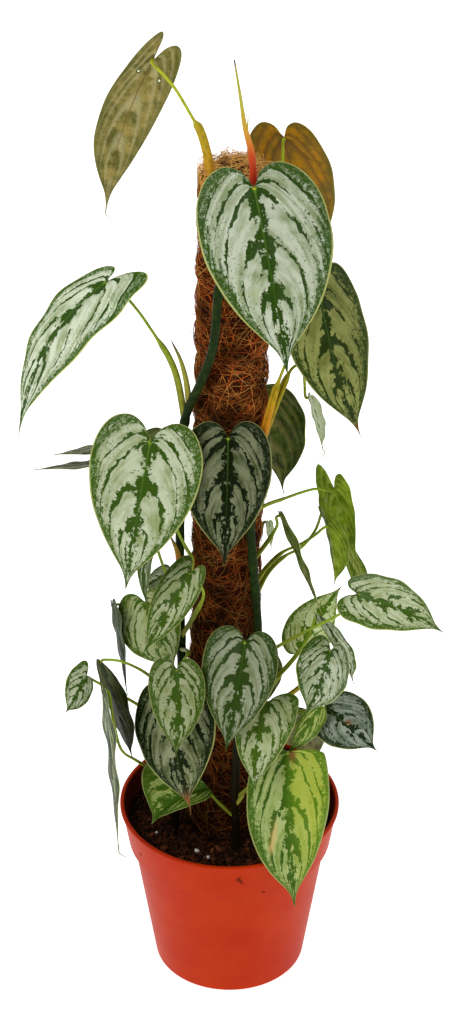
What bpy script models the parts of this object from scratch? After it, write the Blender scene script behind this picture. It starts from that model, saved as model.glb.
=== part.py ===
"""A silver leaf philodendron climbing a coir pole in a plastic nursery pot.

The model stands on its pot: the origin is the middle of the pot's foot, +Z is up and -Y is the
front. Sizes and places are in millimetres, and the MM factor turns them into metres.
"""

import math
import random
from dataclasses import dataclass

import bmesh
import bpy
from mathutils import Vector

MM = 0.001
GAP = 0.35
SHARP_ANGLE = 40.0

POT_HEIGHT = 144.0
POT_RIM_RADIUS = 85.0
POT_FOOT_RADIUS = 59.0
POT_COLLAR_DEPTH = 34.5
POT_COLLAR_FOOT_RADIUS = 78.6
POT_STEP = 3.6
POT_WALL = 1.6
POT_LIP_WIDTH = 3.0
POT_LIP_HEIGHT = 3.6
POT_EASE = 1.0
POT_SEGMENTS = 36
DRAIN_HOLES = 6
DRAIN_RADIUS = 4.5
DRAIN_CIRCLE_RADIUS = 38.0
DRAIN_TURN = 0.55

SOIL_TOP = 127.0
SOIL_BUMP = 2.2
SOIL_SEGMENTS = 18
SOIL_RINGS = (0.9, 0.76, 0.6, 0.4)

POLE_FOOT = Vector((-8.0, 0.0, 125.0))
POLE_TOP = Vector((4.0, 0.0, 674.0))
COIR_BOTTOM = 48.0
COIR_RADIUS = 25.2
COIR_WAIST_DEPTH = 1.6
COIR_WAIST_SPACING = 27.0
COIR_LUMP = 0.8
COIR_SIDES = 16
COIR_CROWN = 3.0
STAKE_RADIUS = 8.0
STAKE_BOTTOM = 2.2
STAKE_TOP = 636.0

STEM_RADIUS = 3.2
STEM_SIDES = 6
STEM_BURIED_TO = 96.0
STEM_HOLE_CLEARANCE = 0.7
STEM_TIP = 0.6
SHEATH_LENGTH = 0.3
SHEATH_TAPER = 0.2
SHEATH_RADIUS = 2.5
PETIOLE_RADIUS = 1.35
PETIOLE_SIDES = 5
PETIOLE_LANDING = 3.0
PETIOLE_GAP = 0.75
PETIOLE_TIP_RADIUS = 0.9
GROWTH_TAPER = 0.8
RING_SPACING = 15.0

BLADE_THICKNESS = 0.8
BLADE_WIDEST = 0.20
VEIN_SLANT = 0.35
EDGE_WAVE = 0.012
EDGE_WAVES = 3.0
LONG_BLADE = 100.0

# Half of a blade's outline: distance from the midrib as a share of the half width, then distance
# from the petiole towards the tip as a share of the blade's length. The lobes rise behind zero.
HALF_OUTLINE = (
    (0.00, 0.000),
    (0.15, -0.095),
    (0.42, -0.135),
    (0.72, -0.085),
    (0.93, 0.040),
    (1.00, 0.200),
    (0.955, 0.360),
    (0.80, 0.520),
    (0.58, 0.660),
    (0.34, 0.770),
    (0.14, 0.855),
    (0.045, 0.925),
    (0.00, 1.000),
)


@dataclass
class Leaf:
    """A blade, placed by where its petiole joins, its tip and the widest point of each half.

    Left and right are as seen on the upper face with the tip pointing down. The bow lifts the
    middle of the midrib, the cup lowers the edges, the sway bends the midrib to the right, and
    the lobes scale how far each lobe rises behind the joint.
    """

    name: str
    join: tuple
    tip: tuple
    left: tuple
    right: tuple
    bow: float = 0.0
    cup: float = 0.0
    sway: float = 0.0
    lobes: tuple = (1.0, 1.0)
    look: str = "silver"

    def axes(self):
        """The run from joint to tip, the direction across it and the upper face's normal."""
        run = Vector(self.tip) - Vector(self.join)
        normal = (Vector(self.right) - Vector(self.left)).cross(-run).normalized()
        return run, (-run).cross(normal).normalized(), normal

    def point(self, side, along):
        """The place of a share across (-1 to 1) and a share along the blade."""
        run, across, normal = self.axes()
        lobe = self.lobes[0] if side < 0 else self.lobes[1]
        along = along * lobe if along < 0 else along

        def midrib(share):
            arch = 4 * share * (1 - share)
            return Vector(self.join) + run * share + (normal * self.bow + across * self.sway) * arch

        edge = Vector(self.right if side > 0 else self.left) - midrib(BLADE_WIDEST)
        wave = EDGE_WAVE * run.length * math.sin(2 * math.pi * EDGE_WAVES * along + 2 * side)
        return midrib(along) + edge * abs(side) + normal * (wave - self.cup) * side * side

    def landing(self):
        """Where the petiole ends under the blade, and a point it comes from."""
        across = self.point(0.1, 0) - self.point(-0.1, 0)
        normal = across.cross(self.point(0, 0) - self.point(0, 0.05)).normalized()
        end = Vector(self.join) - normal * (BLADE_THICKNESS / 2 + PETIOLE_GAP)
        return end - normal * PETIOLE_LANDING, end


LEAVES = [
    Leaf("crown_left", (-49, -22, 756), (-83, -14, 645), (-39, -25, 734), (-81, -14, 726), bow=2,
         cup=2, sway=6, lobes=(0.9, 1.8), look="bronze"),
    Leaf("crown_back", (37, 36, 678), (63, 62, 573), (70, 33, 659), (14, 49, 645), cup=3,
         lobes=(1.0, 1.25), look="bronze"),
    Leaf("crown_front", (16, -50, 679), (38, -96, 566), (-20, -61, 650), (67, -47, 654), bow=6,
         cup=5),
    Leaf("upper_right", (63, 0, 574), (92, -16, 476), (40, -17, 553), (95, 5, 556), bow=5, cup=3,
         sway=-5, lobes=(1.3, 1.6)),
    Leaf("upper_right_back", (23, 46, 479), (40, 50, 391), (55, 29, 467), (15, 65, 449), cup=2,
         lobes=(0.6, 0.6), look="dark"),
    Leaf("upper_right_narrow", (58, 14, 491), (67, 14, 448), (57, -4, 492), (68, 32, 465),
         lobes=(0.6, 0.6)),
    Leaf("upper_left", (-84, -26, 600), (-148, -20, 478), (-120, -3, 580), (-83, -53, 583),
         bow=5, cup=3, sway=-14, lobes=(0.85, 1.3)),
    Leaf("middle_left", (-55, -48, 488), (-73, -76, 385), (-97, -46, 477), (-20, -60, 467),
         bow=5, cup=4),
    Leaf("middle_front", (-1, -42, 488), (-4, -70, 401), (-34, -48, 469), (30, -42, 466), bow=4,
         cup=4, look="dark"),
    Leaf("middle_left_back", (-81, 26, 445), (-127, 16, 442), (-91, 40, 439), (-89, 8, 449),
         lobes=(0.6, 0.6), look="dark"),
    Leaf("middle_left_behind", (-84, 4, 443), (-140, 2, 438), (-97, 22, 435), (-94, -14, 449),
         lobes=(0.6, 0.6), look="dark"),
    Leaf("right_turned_high", (76, 8, 418), (93, -6, 368), (86, -7, 427), (66, 5, 403),
         lobes=(0.9, 3.0), look="lime"),
    Leaf("right_turned_low", (71, -14, 400), (76, -26, 358), (85, -28, 394), (71, -8, 387),
         sway=-3, lobes=(1.4, 2.4), look="lime"),
    Leaf("right_hanging", (70, 14, 395), (98, 0, 315), (74, 8, 381), (97, 14, 355), sway=5,
         lobes=(0.6, 0.6)),
    Leaf("right_edge_on", (37, -18, 412), (67, -30, 335), (48, -40, 403), (43, -15, 388),
         sway=-1, lobes=(0.5, 0.5), look="dark"),
    Leaf("right_small", (29, 30, 376), (31, 32, 353), (27, 20, 377), (33, 40, 366), look="lime"),
    Leaf("right_reaching", (93, -36, 356), (155, -44, 328), (93, -62, 349), (119, -8, 355),
         bow=4, cup=3, lobes=(1.0, 1.3)),
    Leaf("right_rising", (53, 2, 282), (84, 14, 332), (71, -4, 281), (42, 12, 300), bow=3, sway=2),
    Leaf("low_right_front", (73, -50, 316), (54, -88, 286), (51, -60, 318), (88, -50, 290),
         bow=3, cup=3, lobes=(1.6, 1.6)),
    Leaf("low_right_behind", (66, -20, 327), (92, -30, 273), (69, -27, 318), (88, -17, 301),
         sway=3, lobes=(0.4, 0.4)),
    Leaf("low_front", (11, -60, 330), (-3, -92, 257), (-19, -64, 320), (35, -64, 308), bow=5,
         cup=4, lobes=(0.9, 0.9)),
    Leaf("low_front_right", (27, -60, 277), (19, -92, 221), (6, -68, 270), (50, -60, 265), bow=4,
         cup=3, sway=-5, lobes=(1.0, 0.7)),
    Leaf("low_right_green", (67, -42, 262), (43, -50, 224), (56, -44, 259), (68, -44, 241),
         cup=2, lobes=(0.5, 0.5), look="lime"),
    Leaf("low_right_dark", (71, -24, 248), (109, -62, 235), (68, -44, 233), (98, -20, 255),
         bow=3, cup=2, lobes=(1.1, 1.1), look="dark"),
    Leaf("over_rim", (43, -56, 229), (49, -94, 113), (13, -66, 188), (75, -56, 198), bow=6,
         cup=4, sway=-2, lobes=(0.5, 0.2), look="lime"),
    Leaf("over_soil", (-17, -36, 181), (-59, -54, 161), (-58, -36, 206), (-28, -50, 176), cup=2,
         sway=-5, lobes=(0.6, 0.6), look="lime"),
    Leaf("low_left_dark", (-45, -50, 273), (-29, -76, 193), (-71, -47, 241), (-12, -61, 269),
         bow=5, cup=4, lobes=(1.3, 1.1), look="dark"),
    Leaf("low_left_small", (-38, -72, 315), (-39, -98, 256), (-59, -73, 301), (-18, -79, 304),
         bow=3, cup=3, sway=2, lobes=(0.9, 0.9)),
    Leaf("low_left_sideways", (-95, -32, 294), (-72, -44, 214), (-94, -20, 256), (-75, -48, 271),
         lobes=(0.6, 0.2), look="dark"),
    Leaf("left_sliver", (-86, -14, 332), (-76, -26, 260), (-86, -2, 308), (-79, -30, 328),
         sway=1, lobes=(0.5, 0.5), look="dark"),
    Leaf("far_left_small", (-107, -10, 266), (-123, -22, 241), (-120, -12, 270),
         (-105, -12, 248), bow=1, lobes=(2.2, 0.8)),
    Leaf("left_trailing", (-92, -56, 283), (-83, -76, 154), (-93, -38, 241), (-83, -82, 256),
         sway=1, lobes=(0.5, 0.5)),
    Leaf("left_heart", (-61, -26, 342), (-39, -56, 302), (-81, -24, 311), (-40, -36, 345), cup=2,
         lobes=(1.8, 1.2)),
    Leaf("left_front", (-28, -52, 384), (-62, -78, 332), (-49, -51, 379), (-25, -61, 365), bow=3,
         cup=3, lobes=(1.2, 1.2)),
    Leaf("left_narrow", (-57, -36, 401), (-59, -44, 349), (-65, -33, 388), (-54, -43, 394),
         sway=-5, lobes=(0.5, 0.5)),
    Leaf("left_tucked", (-45, -20, 365), (-65, -14, 346), (-52, -19, 368), (-44, -19, 352), cup=1),
    Leaf("back_top", (23, 74, 623), (15, 96, 502), (52, 76, 598), (-10, 76, 604), bow=5, cup=4),
    Leaf("back_upper", (2, 60, 512), (-1, 78, 433), (23, 62, 497), (-21, 62, 499), bow=4, cup=3),
    Leaf("back_middle_left", (-44, 62, 429), (-53, 86, 327), (-16, 73, 402), (-75, 59, 417),
         bow=4, cup=4),
    Leaf("back_middle", (-3, 58, 340), (-6, 84, 236), (20, 61, 320), (-26, 61, 322), bow=4,
         cup=3, look="dark"),
    Leaf("back_low_right", (16, 66, 238), (15, 100, 142), (42, 66, 223), (-11, 80, 214), bow=4,
         cup=3),
    Leaf("back_low_left", (-48, 58, 206), (-54, 98, 118), (-22, 73, 184), (-73, 60, 189), bow=4,
         cup=3, look="dark"),
    Leaf("back_lowest", (50, 66, 180), (62, 102, 92), (76, 66, 165), (30, 84, 152), bow=4, cup=3),
]
LEAF_BY_NAME = {leaf.name: leaf for leaf in LEAVES}

# Each stem's course from the soil upwards, on the side of the pole that it is named for.
STEMS = {
    "left": [(-42, -12, 150), (-37, -9, 210), (-36, -9, 276), (-36, -9, 368), (-35, -9, 443),
             (-31, -15, 489), (-19, -28, 527), (-11, -33, 556), (-8, -34, 591), (-4, -35, 619),
             (4, -34, 645), (12, -32, 660), (15.8, -31.2, 672.0)],
    "right": [(24, -15, 150), (23, -17, 193), (21, -22, 306), (20, -24, 333), (15, -31, 407),
              (15, -31, 449), (21, -26, 473)],
    "front": [(5, -38, 145), (4, -37, 171), (6, -38, 228), (9, -38, 274)],
    "back": [(12, 33, 160), (10, 33, 300), (9, 34, 450), (12, 33, 560), (15, 30, 640)],
}

# Petioles of each stem: the leaf, the height they leave the stem at, and the points they pass.
PETIOLES = {
    "left": [
        ("crown_left", 631, [(-6, -30, 658), (-13, -29, 683), (-15, -28, 695), (-19, -27, 709),
                             (-24, -29, 719), (-34, -33, 739), (-42, -31, 749)]),
        ("crown_front", 597, [(2, -44, 639), (11, -46, 664)]),
        ("upper_left", 487, [(-36, -16, 519), (-42, -18, 539), (-53, -22, 561), (-62, -24, 577),
                             (-72, -22, 589)]),
        ("middle_left", 342, [(-27, -24, 375), (-32, -29, 393), (-38, -34, 412), (-46, -38, 453)]),
        ("middle_left_back", 402, [(-50, 8, 426), (-68, 22, 441)]),
        ("middle_left_behind", 389, [(-50, -4, 416), (-70, 2, 436)]),
        ("low_left_dark", 201, [(-40, -26, 240)]),
        ("low_left_small", 290, [(-30, -40, 309), (-33, -62, 316)]),
        ("low_left_sideways", 239, [(-59, -24, 276), (-77, -38, 298)]),
        ("left_sliver", 298, [(-59, 2, 309), (-77, -4, 324)]),
        ("far_left_small", 211, [(-68, -4, 235), (-92, -2, 250)]),
        ("left_trailing", 163, [(-61, -16, 185), (-71, -32, 205), (-81, -46, 226),
                                (-86, -54, 262)]),
        ("left_heart", 292, [(-47, -14, 320)]),
        ("left_front", 301, [(-27, -28, 330), (-19, -40, 356), (-21, -46, 370)]),
        ("left_narrow", 333, [(-46, -30, 371)]),
        ("left_tucked", 329, [(-38, -14, 349)]),
    ],
    "right": [
        ("upper_right", 470, [(28, -22, 500), (34, -14, 518), (50, 2, 553)]),
        ("upper_right_narrow", 462, [(26, -18, 483), (35, -12, 507), (43, -4, 522), (51, 6, 520),
                                     (53, 13, 503)]),
        ("middle_front", 416, [(7, -38, 454), (2, -40, 476)]),
        ("right_turned_high", 420, [(26, -26, 425), (38, -11, 421), (50, -6, 423), (62, 0, 423)]),
        ("right_turned_low", 358, [(26, -20, 368), (38, -8, 374), (51, -8, 381), (61, -12, 391)]),
        ("right_hanging", 348, [(28, -14, 361), (40, -2, 367), (53, 8, 369), (63, 17, 378)]),
        ("right_edge_on", 380, [(28, -20, 392), (34, -18, 403)]),
        ("right_reaching", 290, [(37, -26, 305), (59, -33, 324), (80, -40, 342)]),
        ("right_rising", 250, [(35, 0, 256), (45, 9, 265)]),
        ("low_right_front", 245, [(45, -34, 267), (65, -44, 297)]),
        ("low_right_behind", 256, [(45, -22, 287), (58, -22, 310)]),
        ("low_right_green", 210, [(45, -26, 230), (58, -36, 250)]),
        ("low_right_dark", 217, [(46, -14, 233), (60, -18, 241)]),
    ],
    "front": [
        ("low_front", 264, [(13, -52, 303)]),
        ("low_front_right", 217, [(19, -52, 253)]),
        ("over_rim", 171, [(24, -46, 200), (36, -50, 218)]),
        ("over_soil", 154, [(-6, -36, 165), (-13, -32, 171)]),
    ],
    "back": [
        ("crown_back", 600, [(27, 30, 632), (35, 30, 655)]),
        ("upper_right_back", 430, [(14, 40, 455), (19, 42, 470)]),
        ("right_small", 350, [(22, 34, 362)]),
        ("back_top", 560, [(16, 50, 590), (21, 66, 612)]),
        ("back_upper", 460, [(6, 46, 488)]),
        ("back_middle_left", 380, [(-6, 42, 400), (-30, 54, 420)]),
        ("back_middle", 300, [(4, 46, 322)]),
        ("back_low_right", 190, [(14, 50, 216)]),
        ("back_low_left", 166, [(-4, 44, 180), (-30, 52, 196)]),
        ("back_lowest", 158, [(26, 46, 166), (40, 58, 174)]),
    ],
}

# Pointed scales and short roots that grow on a stem: stem, height, points, base radius.
OUTGROWTHS = [
    ("left", 500, [(-30, -19, 520), (-34, -18, 537), (-40, -17, 551)], 2.2),
    ("left", 360, [(-38, -13, 378), (-43, -16, 394)], 2.4),
    ("left", 497, [(-27, -16, 493)], 1.3),
    ("right", 470, [(26, -18, 478)], 1.2),
    ("front", 166, [(9, -44, 178), (12, -48, 186)], 1.4),
]

NEW_SHOOT = [(16, -31, 673), (14, -26, 694), (10, -22, 710), (7, -18, 729), (3, -14, 753)]
NEW_SHOOT_RADII = (2.7, 2.3, 1.7, 1.1, 0.5)


def clear_scene():
    for obj in list(bpy.data.objects):
        bpy.data.objects.remove(obj)


def material(name, colour, roughness):
    made = bpy.data.materials.new(name)
    made.use_nodes = True
    shader = made.node_tree.nodes["Principled BSDF"]
    shader.inputs["Base Color"].default_value = (*colour, 1.0)
    shader.inputs["Roughness"].default_value = roughness
    return made


def add_object(name, points, faces, finish):
    """An object from points in millimetres, with outward faces and smooth shading."""
    mesh = bpy.data.meshes.new(name)
    mesh.from_pydata([tuple(Vector(point) * MM) for point in points], [], faces)
    shaped = bmesh.new()
    shaped.from_mesh(mesh)
    bmesh.ops.recalc_face_normals(shaped, faces=shaped.faces)
    shaped.to_mesh(mesh)
    shaped.free()
    mesh.shade_smooth()
    mesh.set_sharp_from_angle(angle=math.radians(SHARP_ANGLE))
    mesh.materials.append(finish)
    obj = bpy.data.objects.new(name, mesh)
    bpy.context.scene.collection.objects.link(obj)
    return obj


def curve_through(points, share):
    """A point at a share of the smooth curve through the points."""
    first = 2 * points[0] - points[1]
    last = 2 * points[-1] - points[-2]
    padded = [first, *points, last]
    place = share * (len(points) - 1)
    span = min(int(place), len(points) - 2)
    f = place - span
    a, b, c, d = padded[span : span + 4]
    bend = (2 * a - 5 * b + 4 * c - d) * f * f + (3 * b - a - 3 * c + d) * f**3
    return (2 * b + (c - a) * f + bend) / 2


def smooth_course(points):
    """Evenly shared places on the smooth curve, enough to keep its bends."""
    points = [Vector(point) for point in points]
    length = sum((b - a).length for a, b in zip(points, points[1:]))
    count = max(len(points) - 1, round(length / RING_SPACING))
    return [curve_through(points, i / count) for i in range(count + 1)]


def tube_mesh(course, radii, sides):
    """A closed tube along the course, its rings carried along without twist."""
    points = []
    faces = []
    forward = (course[1] - course[0]).normalized()
    across = forward.orthogonal().normalized()
    for i, centre in enumerate(course):
        ahead = course[min(i + 1, len(course) - 1)]
        behind = course[max(i - 1, 0)]
        forward = (ahead - behind).normalized()
        across = (across - forward * across.dot(forward)).normalized()
        beside = forward.cross(across)
        for k in range(sides):
            turn = 2 * math.pi * k / sides
            points.append(centre + (across * math.cos(turn) + beside * math.sin(turn)) * radii[i])
    for i in range(len(course) - 1):
        for k in range(sides):
            a = i * sides + k
            b = i * sides + (k + 1) % sides
            faces.append((a, b, b + sides, a + sides))
    faces.append(tuple(reversed(range(sides))))
    faces.append(tuple(range(len(points) - sides, len(points))))
    return points, faces


def turned_mesh(profile, segments):
    """A body turned round Z from a profile that starts and ends on the axis."""
    points = [Vector((0, 0, profile[0][1])), Vector((0, 0, profile[-1][1]))]
    rings = profile[1:-1]
    for radius, height in rings:
        for k in range(segments):
            turn = 2 * math.pi * k / segments
            points.append(Vector((radius * math.cos(turn), radius * math.sin(turn), height)))
    faces = []
    for k in range(segments):
        following = (k + 1) % segments
        faces.append((0, 2 + k, 2 + following))
        for i in range(len(rings) - 1):
            a = 2 + i * segments
            b = a + segments
            faces.append((a + k, b + k, b + following, a + following))
        last = 2 + (len(rings) - 1) * segments
        faces.append((1, last + following, last + k))
    return points, faces


def cut(obj, cutters):
    for cutter in cutters:
        cutter.hide_render = True
        cutter.display_type = "WIRE"
        trim = obj.modifiers.new(cutter.name, "BOOLEAN")
        trim.operation = "DIFFERENCE"
        trim.object = cutter


def fuse(name, pieces, finish):
    """One solid from overlapping pieces; the pieces are removed."""
    base, *others = pieces
    group = bpy.data.collections.new(name)
    for piece in others:
        group.objects.link(piece)
    join = base.modifiers.new("join", "BOOLEAN")
    join.operation = "UNION"
    join.operand_type = "COLLECTION"
    join.solver = "MANIFOLD"
    join.collection = group
    bpy.context.view_layer.update()
    graph = bpy.context.evaluated_depsgraph_get()
    mesh = bpy.data.meshes.new_from_object(base.evaluated_get(graph))
    for piece in pieces:
        bpy.data.objects.remove(piece)
    bpy.data.collections.remove(group)
    mesh.name = name
    mesh.materials.clear()
    mesh.materials.append(finish)
    fused = bpy.data.objects.new(name, mesh)
    bpy.context.scene.collection.objects.link(fused)
    return fused


def pole_centre(height):
    share = (height - POLE_FOOT.z) / (POLE_TOP.z - POLE_FOOT.z)
    return POLE_FOOT.lerp(POLE_TOP, share)


def pot():
    """The thin moulded pot: a tapered wall, a deeper collar, a rolled lip and drain holes."""
    collar_foot = POT_HEIGHT - POT_COLLAR_DEPTH
    wall_top_radius = POT_COLLAR_FOOT_RADIUS - POT_STEP
    lip_foot = POT_HEIGHT - POT_LIP_HEIGHT
    collar_top_radius = POT_RIM_RADIUS - POT_LIP_WIDTH / 2
    inside_rim = POT_RIM_RADIUS - POT_LIP_WIDTH
    profile = [
        (0, 0),
        (POT_FOOT_RADIUS - POT_EASE, 0),
        (POT_FOOT_RADIUS, POT_EASE),
        (wall_top_radius, collar_foot - POT_EASE),
        (POT_COLLAR_FOOT_RADIUS, collar_foot),
        (collar_top_radius, lip_foot),
        (POT_RIM_RADIUS, lip_foot + POT_EASE),
        (POT_RIM_RADIUS, POT_HEIGHT - POT_EASE),
        (POT_RIM_RADIUS - POT_EASE, POT_HEIGHT),
        (inside_rim, POT_HEIGHT),
        (inside_rim - POT_EASE, POT_HEIGHT - 2 * POT_EASE),
        (POT_COLLAR_FOOT_RADIUS - POT_WALL, collar_foot + POT_WALL),
        (wall_top_radius - POT_WALL, collar_foot),
        (POT_FOOT_RADIUS - POT_WALL, POT_WALL),
        (0, POT_WALL),
    ]
    body = add_object("pot", *turned_mesh(profile, POT_SEGMENTS),
                      material("terracotta_plastic", (0.58, 0.075, 0.03), 0.45))
    drains = []
    for k in range(DRAIN_HOLES):
        turn = 2 * math.pi * (k + DRAIN_TURN) / DRAIN_HOLES
        centre = Vector((math.cos(turn), math.sin(turn), 0)) * DRAIN_CIRCLE_RADIUS
        course = [centre + Vector((0, 0, height)) for height in (-POT_WALL, 3 * POT_WALL)]
        drains.append(add_object(f"drain_{k}", *tube_mesh(course, (DRAIN_RADIUS,) * 2, 8),
                                 body.data.materials[0]))
    cut(body, drains)
    return body


def soil():
    """Potting mix that fills the pot to below its rim, with plain holes for pole and stems."""
    draw = random.Random(5)
    ledge = POT_HEIGHT - POT_COLLAR_DEPTH
    ledge_top = ledge + POT_WALL
    inside_collar = POT_COLLAR_FOOT_RADIUS - POT_WALL
    inside_wall = inside_collar - POT_STEP
    inside_rim = POT_RIM_RADIUS - POT_LIP_WIDTH - POT_EASE
    rise = (SOIL_TOP - 2 * SOIL_BUMP - ledge_top) / (POT_HEIGHT - 2 * POT_EASE - ledge_top)
    top_radius = inside_collar + (inside_rim - inside_collar) * rise - GAP
    bottom = POT_WALL + GAP
    profile = [
        (0, bottom),
        (POT_FOOT_RADIUS - POT_WALL - GAP, bottom),
        (inside_wall - GAP, ledge + GAP / 2),
        (inside_collar - GAP, ledge_top + GAP),
        (top_radius, SOIL_TOP - SOIL_BUMP),
        *((top_radius * share, SOIL_TOP) for share in SOIL_RINGS),
        (0, SOIL_TOP),
    ]
    points, faces = turned_mesh(profile, SOIL_SEGMENTS)
    first_loose = 2 + 4 * SOIL_SEGMENTS
    for i in range(first_loose, len(points)):
        points[i] = points[i] + Vector((0, 0, draw.uniform(-SOIL_BUMP, SOIL_BUMP)))
    body = add_object("soil", points, faces, material("potting_mix", (0.02, 0.012, 0.008), 0.95))
    above = SOIL_TOP + 5 * SOIL_BUMP
    coir_hole = COIR_RADIUS + COIR_WAIST_DEPTH + COIR_LUMP + GAP
    holes = [
        ("hole_for_coir", [pole_centre(COIR_BOTTOM - 1), pole_centre(above)], coir_hole, 24),
        ("hole_for_stake", [pole_centre(0), pole_centre(COIR_BOTTOM + 10)], STAKE_RADIUS + GAP, 16),
    ]
    for name, course in STEMS.items():
        x, y, _ = course[0]
        upright = [Vector((x, y, STEM_BURIED_TO - GAP)), Vector((x, y, above))]
        holes.append((f"hole_for_{name}", upright, STEM_RADIUS + STEM_HOLE_CLEARANCE, 12))
    cutters = [
        add_object(name, *tube_mesh(course, (radius,) * 2, sides), body.data.materials[0])
        for name, course, radius, sides in holes
    ]
    cut(body, cutters)
    return body


def pole_stake():
    """The plain rod that stands on the pot's floor and stiffens the pole."""
    course = [pole_centre(STAKE_BOTTOM), pole_centre(STAKE_TOP)]
    return add_object("pole_stake", *tube_mesh(course, (STAKE_RADIUS,) * 2, 14),
                      material("stake_wood", (0.45, 0.3, 0.17), 0.7))


def coir_pole():
    """The coir wrap: tied in at even steps, lumpy, open below and closed over the rod's top."""
    draw = random.Random(11)
    points = []
    faces = []
    steps = round((POLE_TOP.z - COIR_BOTTOM) / COIR_WAIST_SPACING * 2)
    for i in range(steps + 1):
        z = COIR_BOTTOM + (POLE_TOP.z - COIR_BOTTOM) * i / steps
        swell = COIR_WAIST_DEPTH if i % 2 else -COIR_WAIST_DEPTH
        for k in range(COIR_SIDES):
            turn = 2 * math.pi * k / COIR_SIDES
            radius = COIR_RADIUS + swell + draw.uniform(-COIR_LUMP, COIR_LUMP)
            around = Vector((math.cos(turn), math.sin(turn), 0)) * radius
            points.append(pole_centre(z) + around)
    bore = len(points)
    for z in (COIR_BOTTOM, STAKE_TOP + GAP):
        for k in range(COIR_SIDES):
            turn = 2 * math.pi * k / COIR_SIDES
            around = Vector((math.cos(turn), math.sin(turn), 0)) * (STAKE_RADIUS + 2 * GAP)
            points.append(pole_centre(z) + around)
    bore_end = bore + COIR_SIDES
    top = steps * COIR_SIDES
    crown = len(points)
    points.append(pole_centre(POLE_TOP.z + COIR_CROWN))
    points.append(pole_centre(STAKE_TOP + GAP))
    for k in range(COIR_SIDES):
        following = (k + 1) % COIR_SIDES
        for i in range(steps):
            a = i * COIR_SIDES
            b = a + COIR_SIDES
            faces.append((a + k, a + following, b + following))
            faces.append((a + k, b + following, b + k))
        faces.append((k, bore + k, bore + following, following))
        faces.append((bore + k, bore_end + k, bore_end + following, bore + following))
        faces.append((bore_end + k, crown + 1, bore_end + following))
        faces.append((top + k, top + following, crown))
    return add_object("coir_pole", points, faces, material("coir", (0.2, 0.07, 0.02), 0.9))


def height_share(course, height):
    """The share of a rising course at which it passes a height."""
    low = 0.0
    high = 1.0
    for _ in range(30):
        middle = (low + high) / 2
        if curve_through(course, middle).z < height:
            low = middle
        else:
            high = middle
    return low


def stem_course(name):
    x, y, _ = STEMS[name][0]
    buried = [(x, y, STEM_BURIED_TO), (x, y, SOIL_TOP + 3)]
    return [Vector(point) for point in [*buried, *STEMS[name]]]


def sheathed_radii(count):
    """Radii of a petiole: a wide sheath at the stem, then a slim stalk."""
    radii = []
    for i in range(count):
        share = i / (count - 1)
        slim = min(1.0, max(0.0, (share - SHEATH_LENGTH) / SHEATH_TAPER))
        radii.append(SHEATH_RADIUS + (PETIOLE_RADIUS - SHEATH_RADIUS) * slim)
    radii[-1] = PETIOLE_TIP_RADIUS
    return radii


def vine(name, finish):
    """A stem with its petioles, scales and roots, grown together as one body."""
    course = stem_course(name)
    rings = smooth_course(course)
    radii = [STEM_RADIUS] * (len(rings) - 1) + [STEM_RADIUS * STEM_TIP]
    pieces = [add_object("stem", *tube_mesh(rings, radii, STEM_SIDES), finish)]
    for leaf_name, height, passed in PETIOLES[name]:
        start = curve_through(course, height_share(course, height))
        before, end = LEAF_BY_NAME[leaf_name].landing()
        stalk = smooth_course([start, *passed, before, end])
        shape = tube_mesh(stalk, sheathed_radii(len(stalk)), PETIOLE_SIDES)
        pieces.append(add_object("petiole", *shape, finish))
    for stem_name, height, passed, radius in OUTGROWTHS:
        if stem_name != name:
            continue
        start = curve_through(course, height_share(course, height))
        growth = smooth_course([start, *passed])
        taper = [radius * (1 - GROWTH_TAPER * i / (len(growth) - 1)) for i in range(len(growth))]
        pieces.append(add_object("growth", *tube_mesh(growth, taper, PETIOLE_SIDES), finish))
    return fuse(f"vine_{name}", pieces, finish)


def new_shoot(finish):
    """The newest leaf, still rolled up in its pale sheath."""
    course = smooth_course(NEW_SHOOT)
    count = len(course) - 1
    radii = [curve_through(NEW_SHOOT_RADII, i / count) for i in range(count + 1)]
    return add_object("new_leaf_shoot", *tube_mesh(course, radii, PETIOLE_SIDES + 1), finish)


def blade_nodes(bands):
    """For each half and each rib from the midrib to the outline: the shares across and along."""
    steps = [j / bands for j in range(bands + 1)]
    halves = []
    for side in (-1, 1):
        ribs = []
        for across, along in HALF_OUTLINE[1:-1]:
            foot = max(0.0, along - VEIN_SLANT * across)
            ribs.append([(side * across * r, foot + (along - foot) * r) for r in steps])
        halves.append(ribs)
    return halves


def blade_triangles(bands):
    """The blade's triangles over a list of its (across, along) places."""
    places = []
    number = {}

    def index(place):
        key = (round(place[0], 6), round(place[1], 6))
        if key not in number:
            number[key] = len(places)
            places.append(place)
        return number[key]

    triangles = []

    def add(a, b, c):
        if len({a, b, c}) == 3:
            triangles.append((a, b, c))

    tip = (0.0, 1.0)
    for side, ribs in zip((-1, 1), blade_nodes(bands)):
        for near, far in zip(ribs, [*ribs[1:], [tip] * (bands + 1)]):
            for j in range(bands):
                corners = [index(place) for place in (near[j], near[j + 1], far[j + 1], far[j])]
                if side < 0:
                    corners.reverse()
                add(corners[0], corners[1], corners[2])
                add(corners[0], corners[2], corners[3])
    return places, triangles


def edge_of(triangles):
    """The directed edges that only one triangle has."""
    edges = {(t[i], t[(i + 1) % 3]) for t in triangles for i in range(3)}
    return [edge for edge in edges if (edge[1], edge[0]) not in edges]


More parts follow.
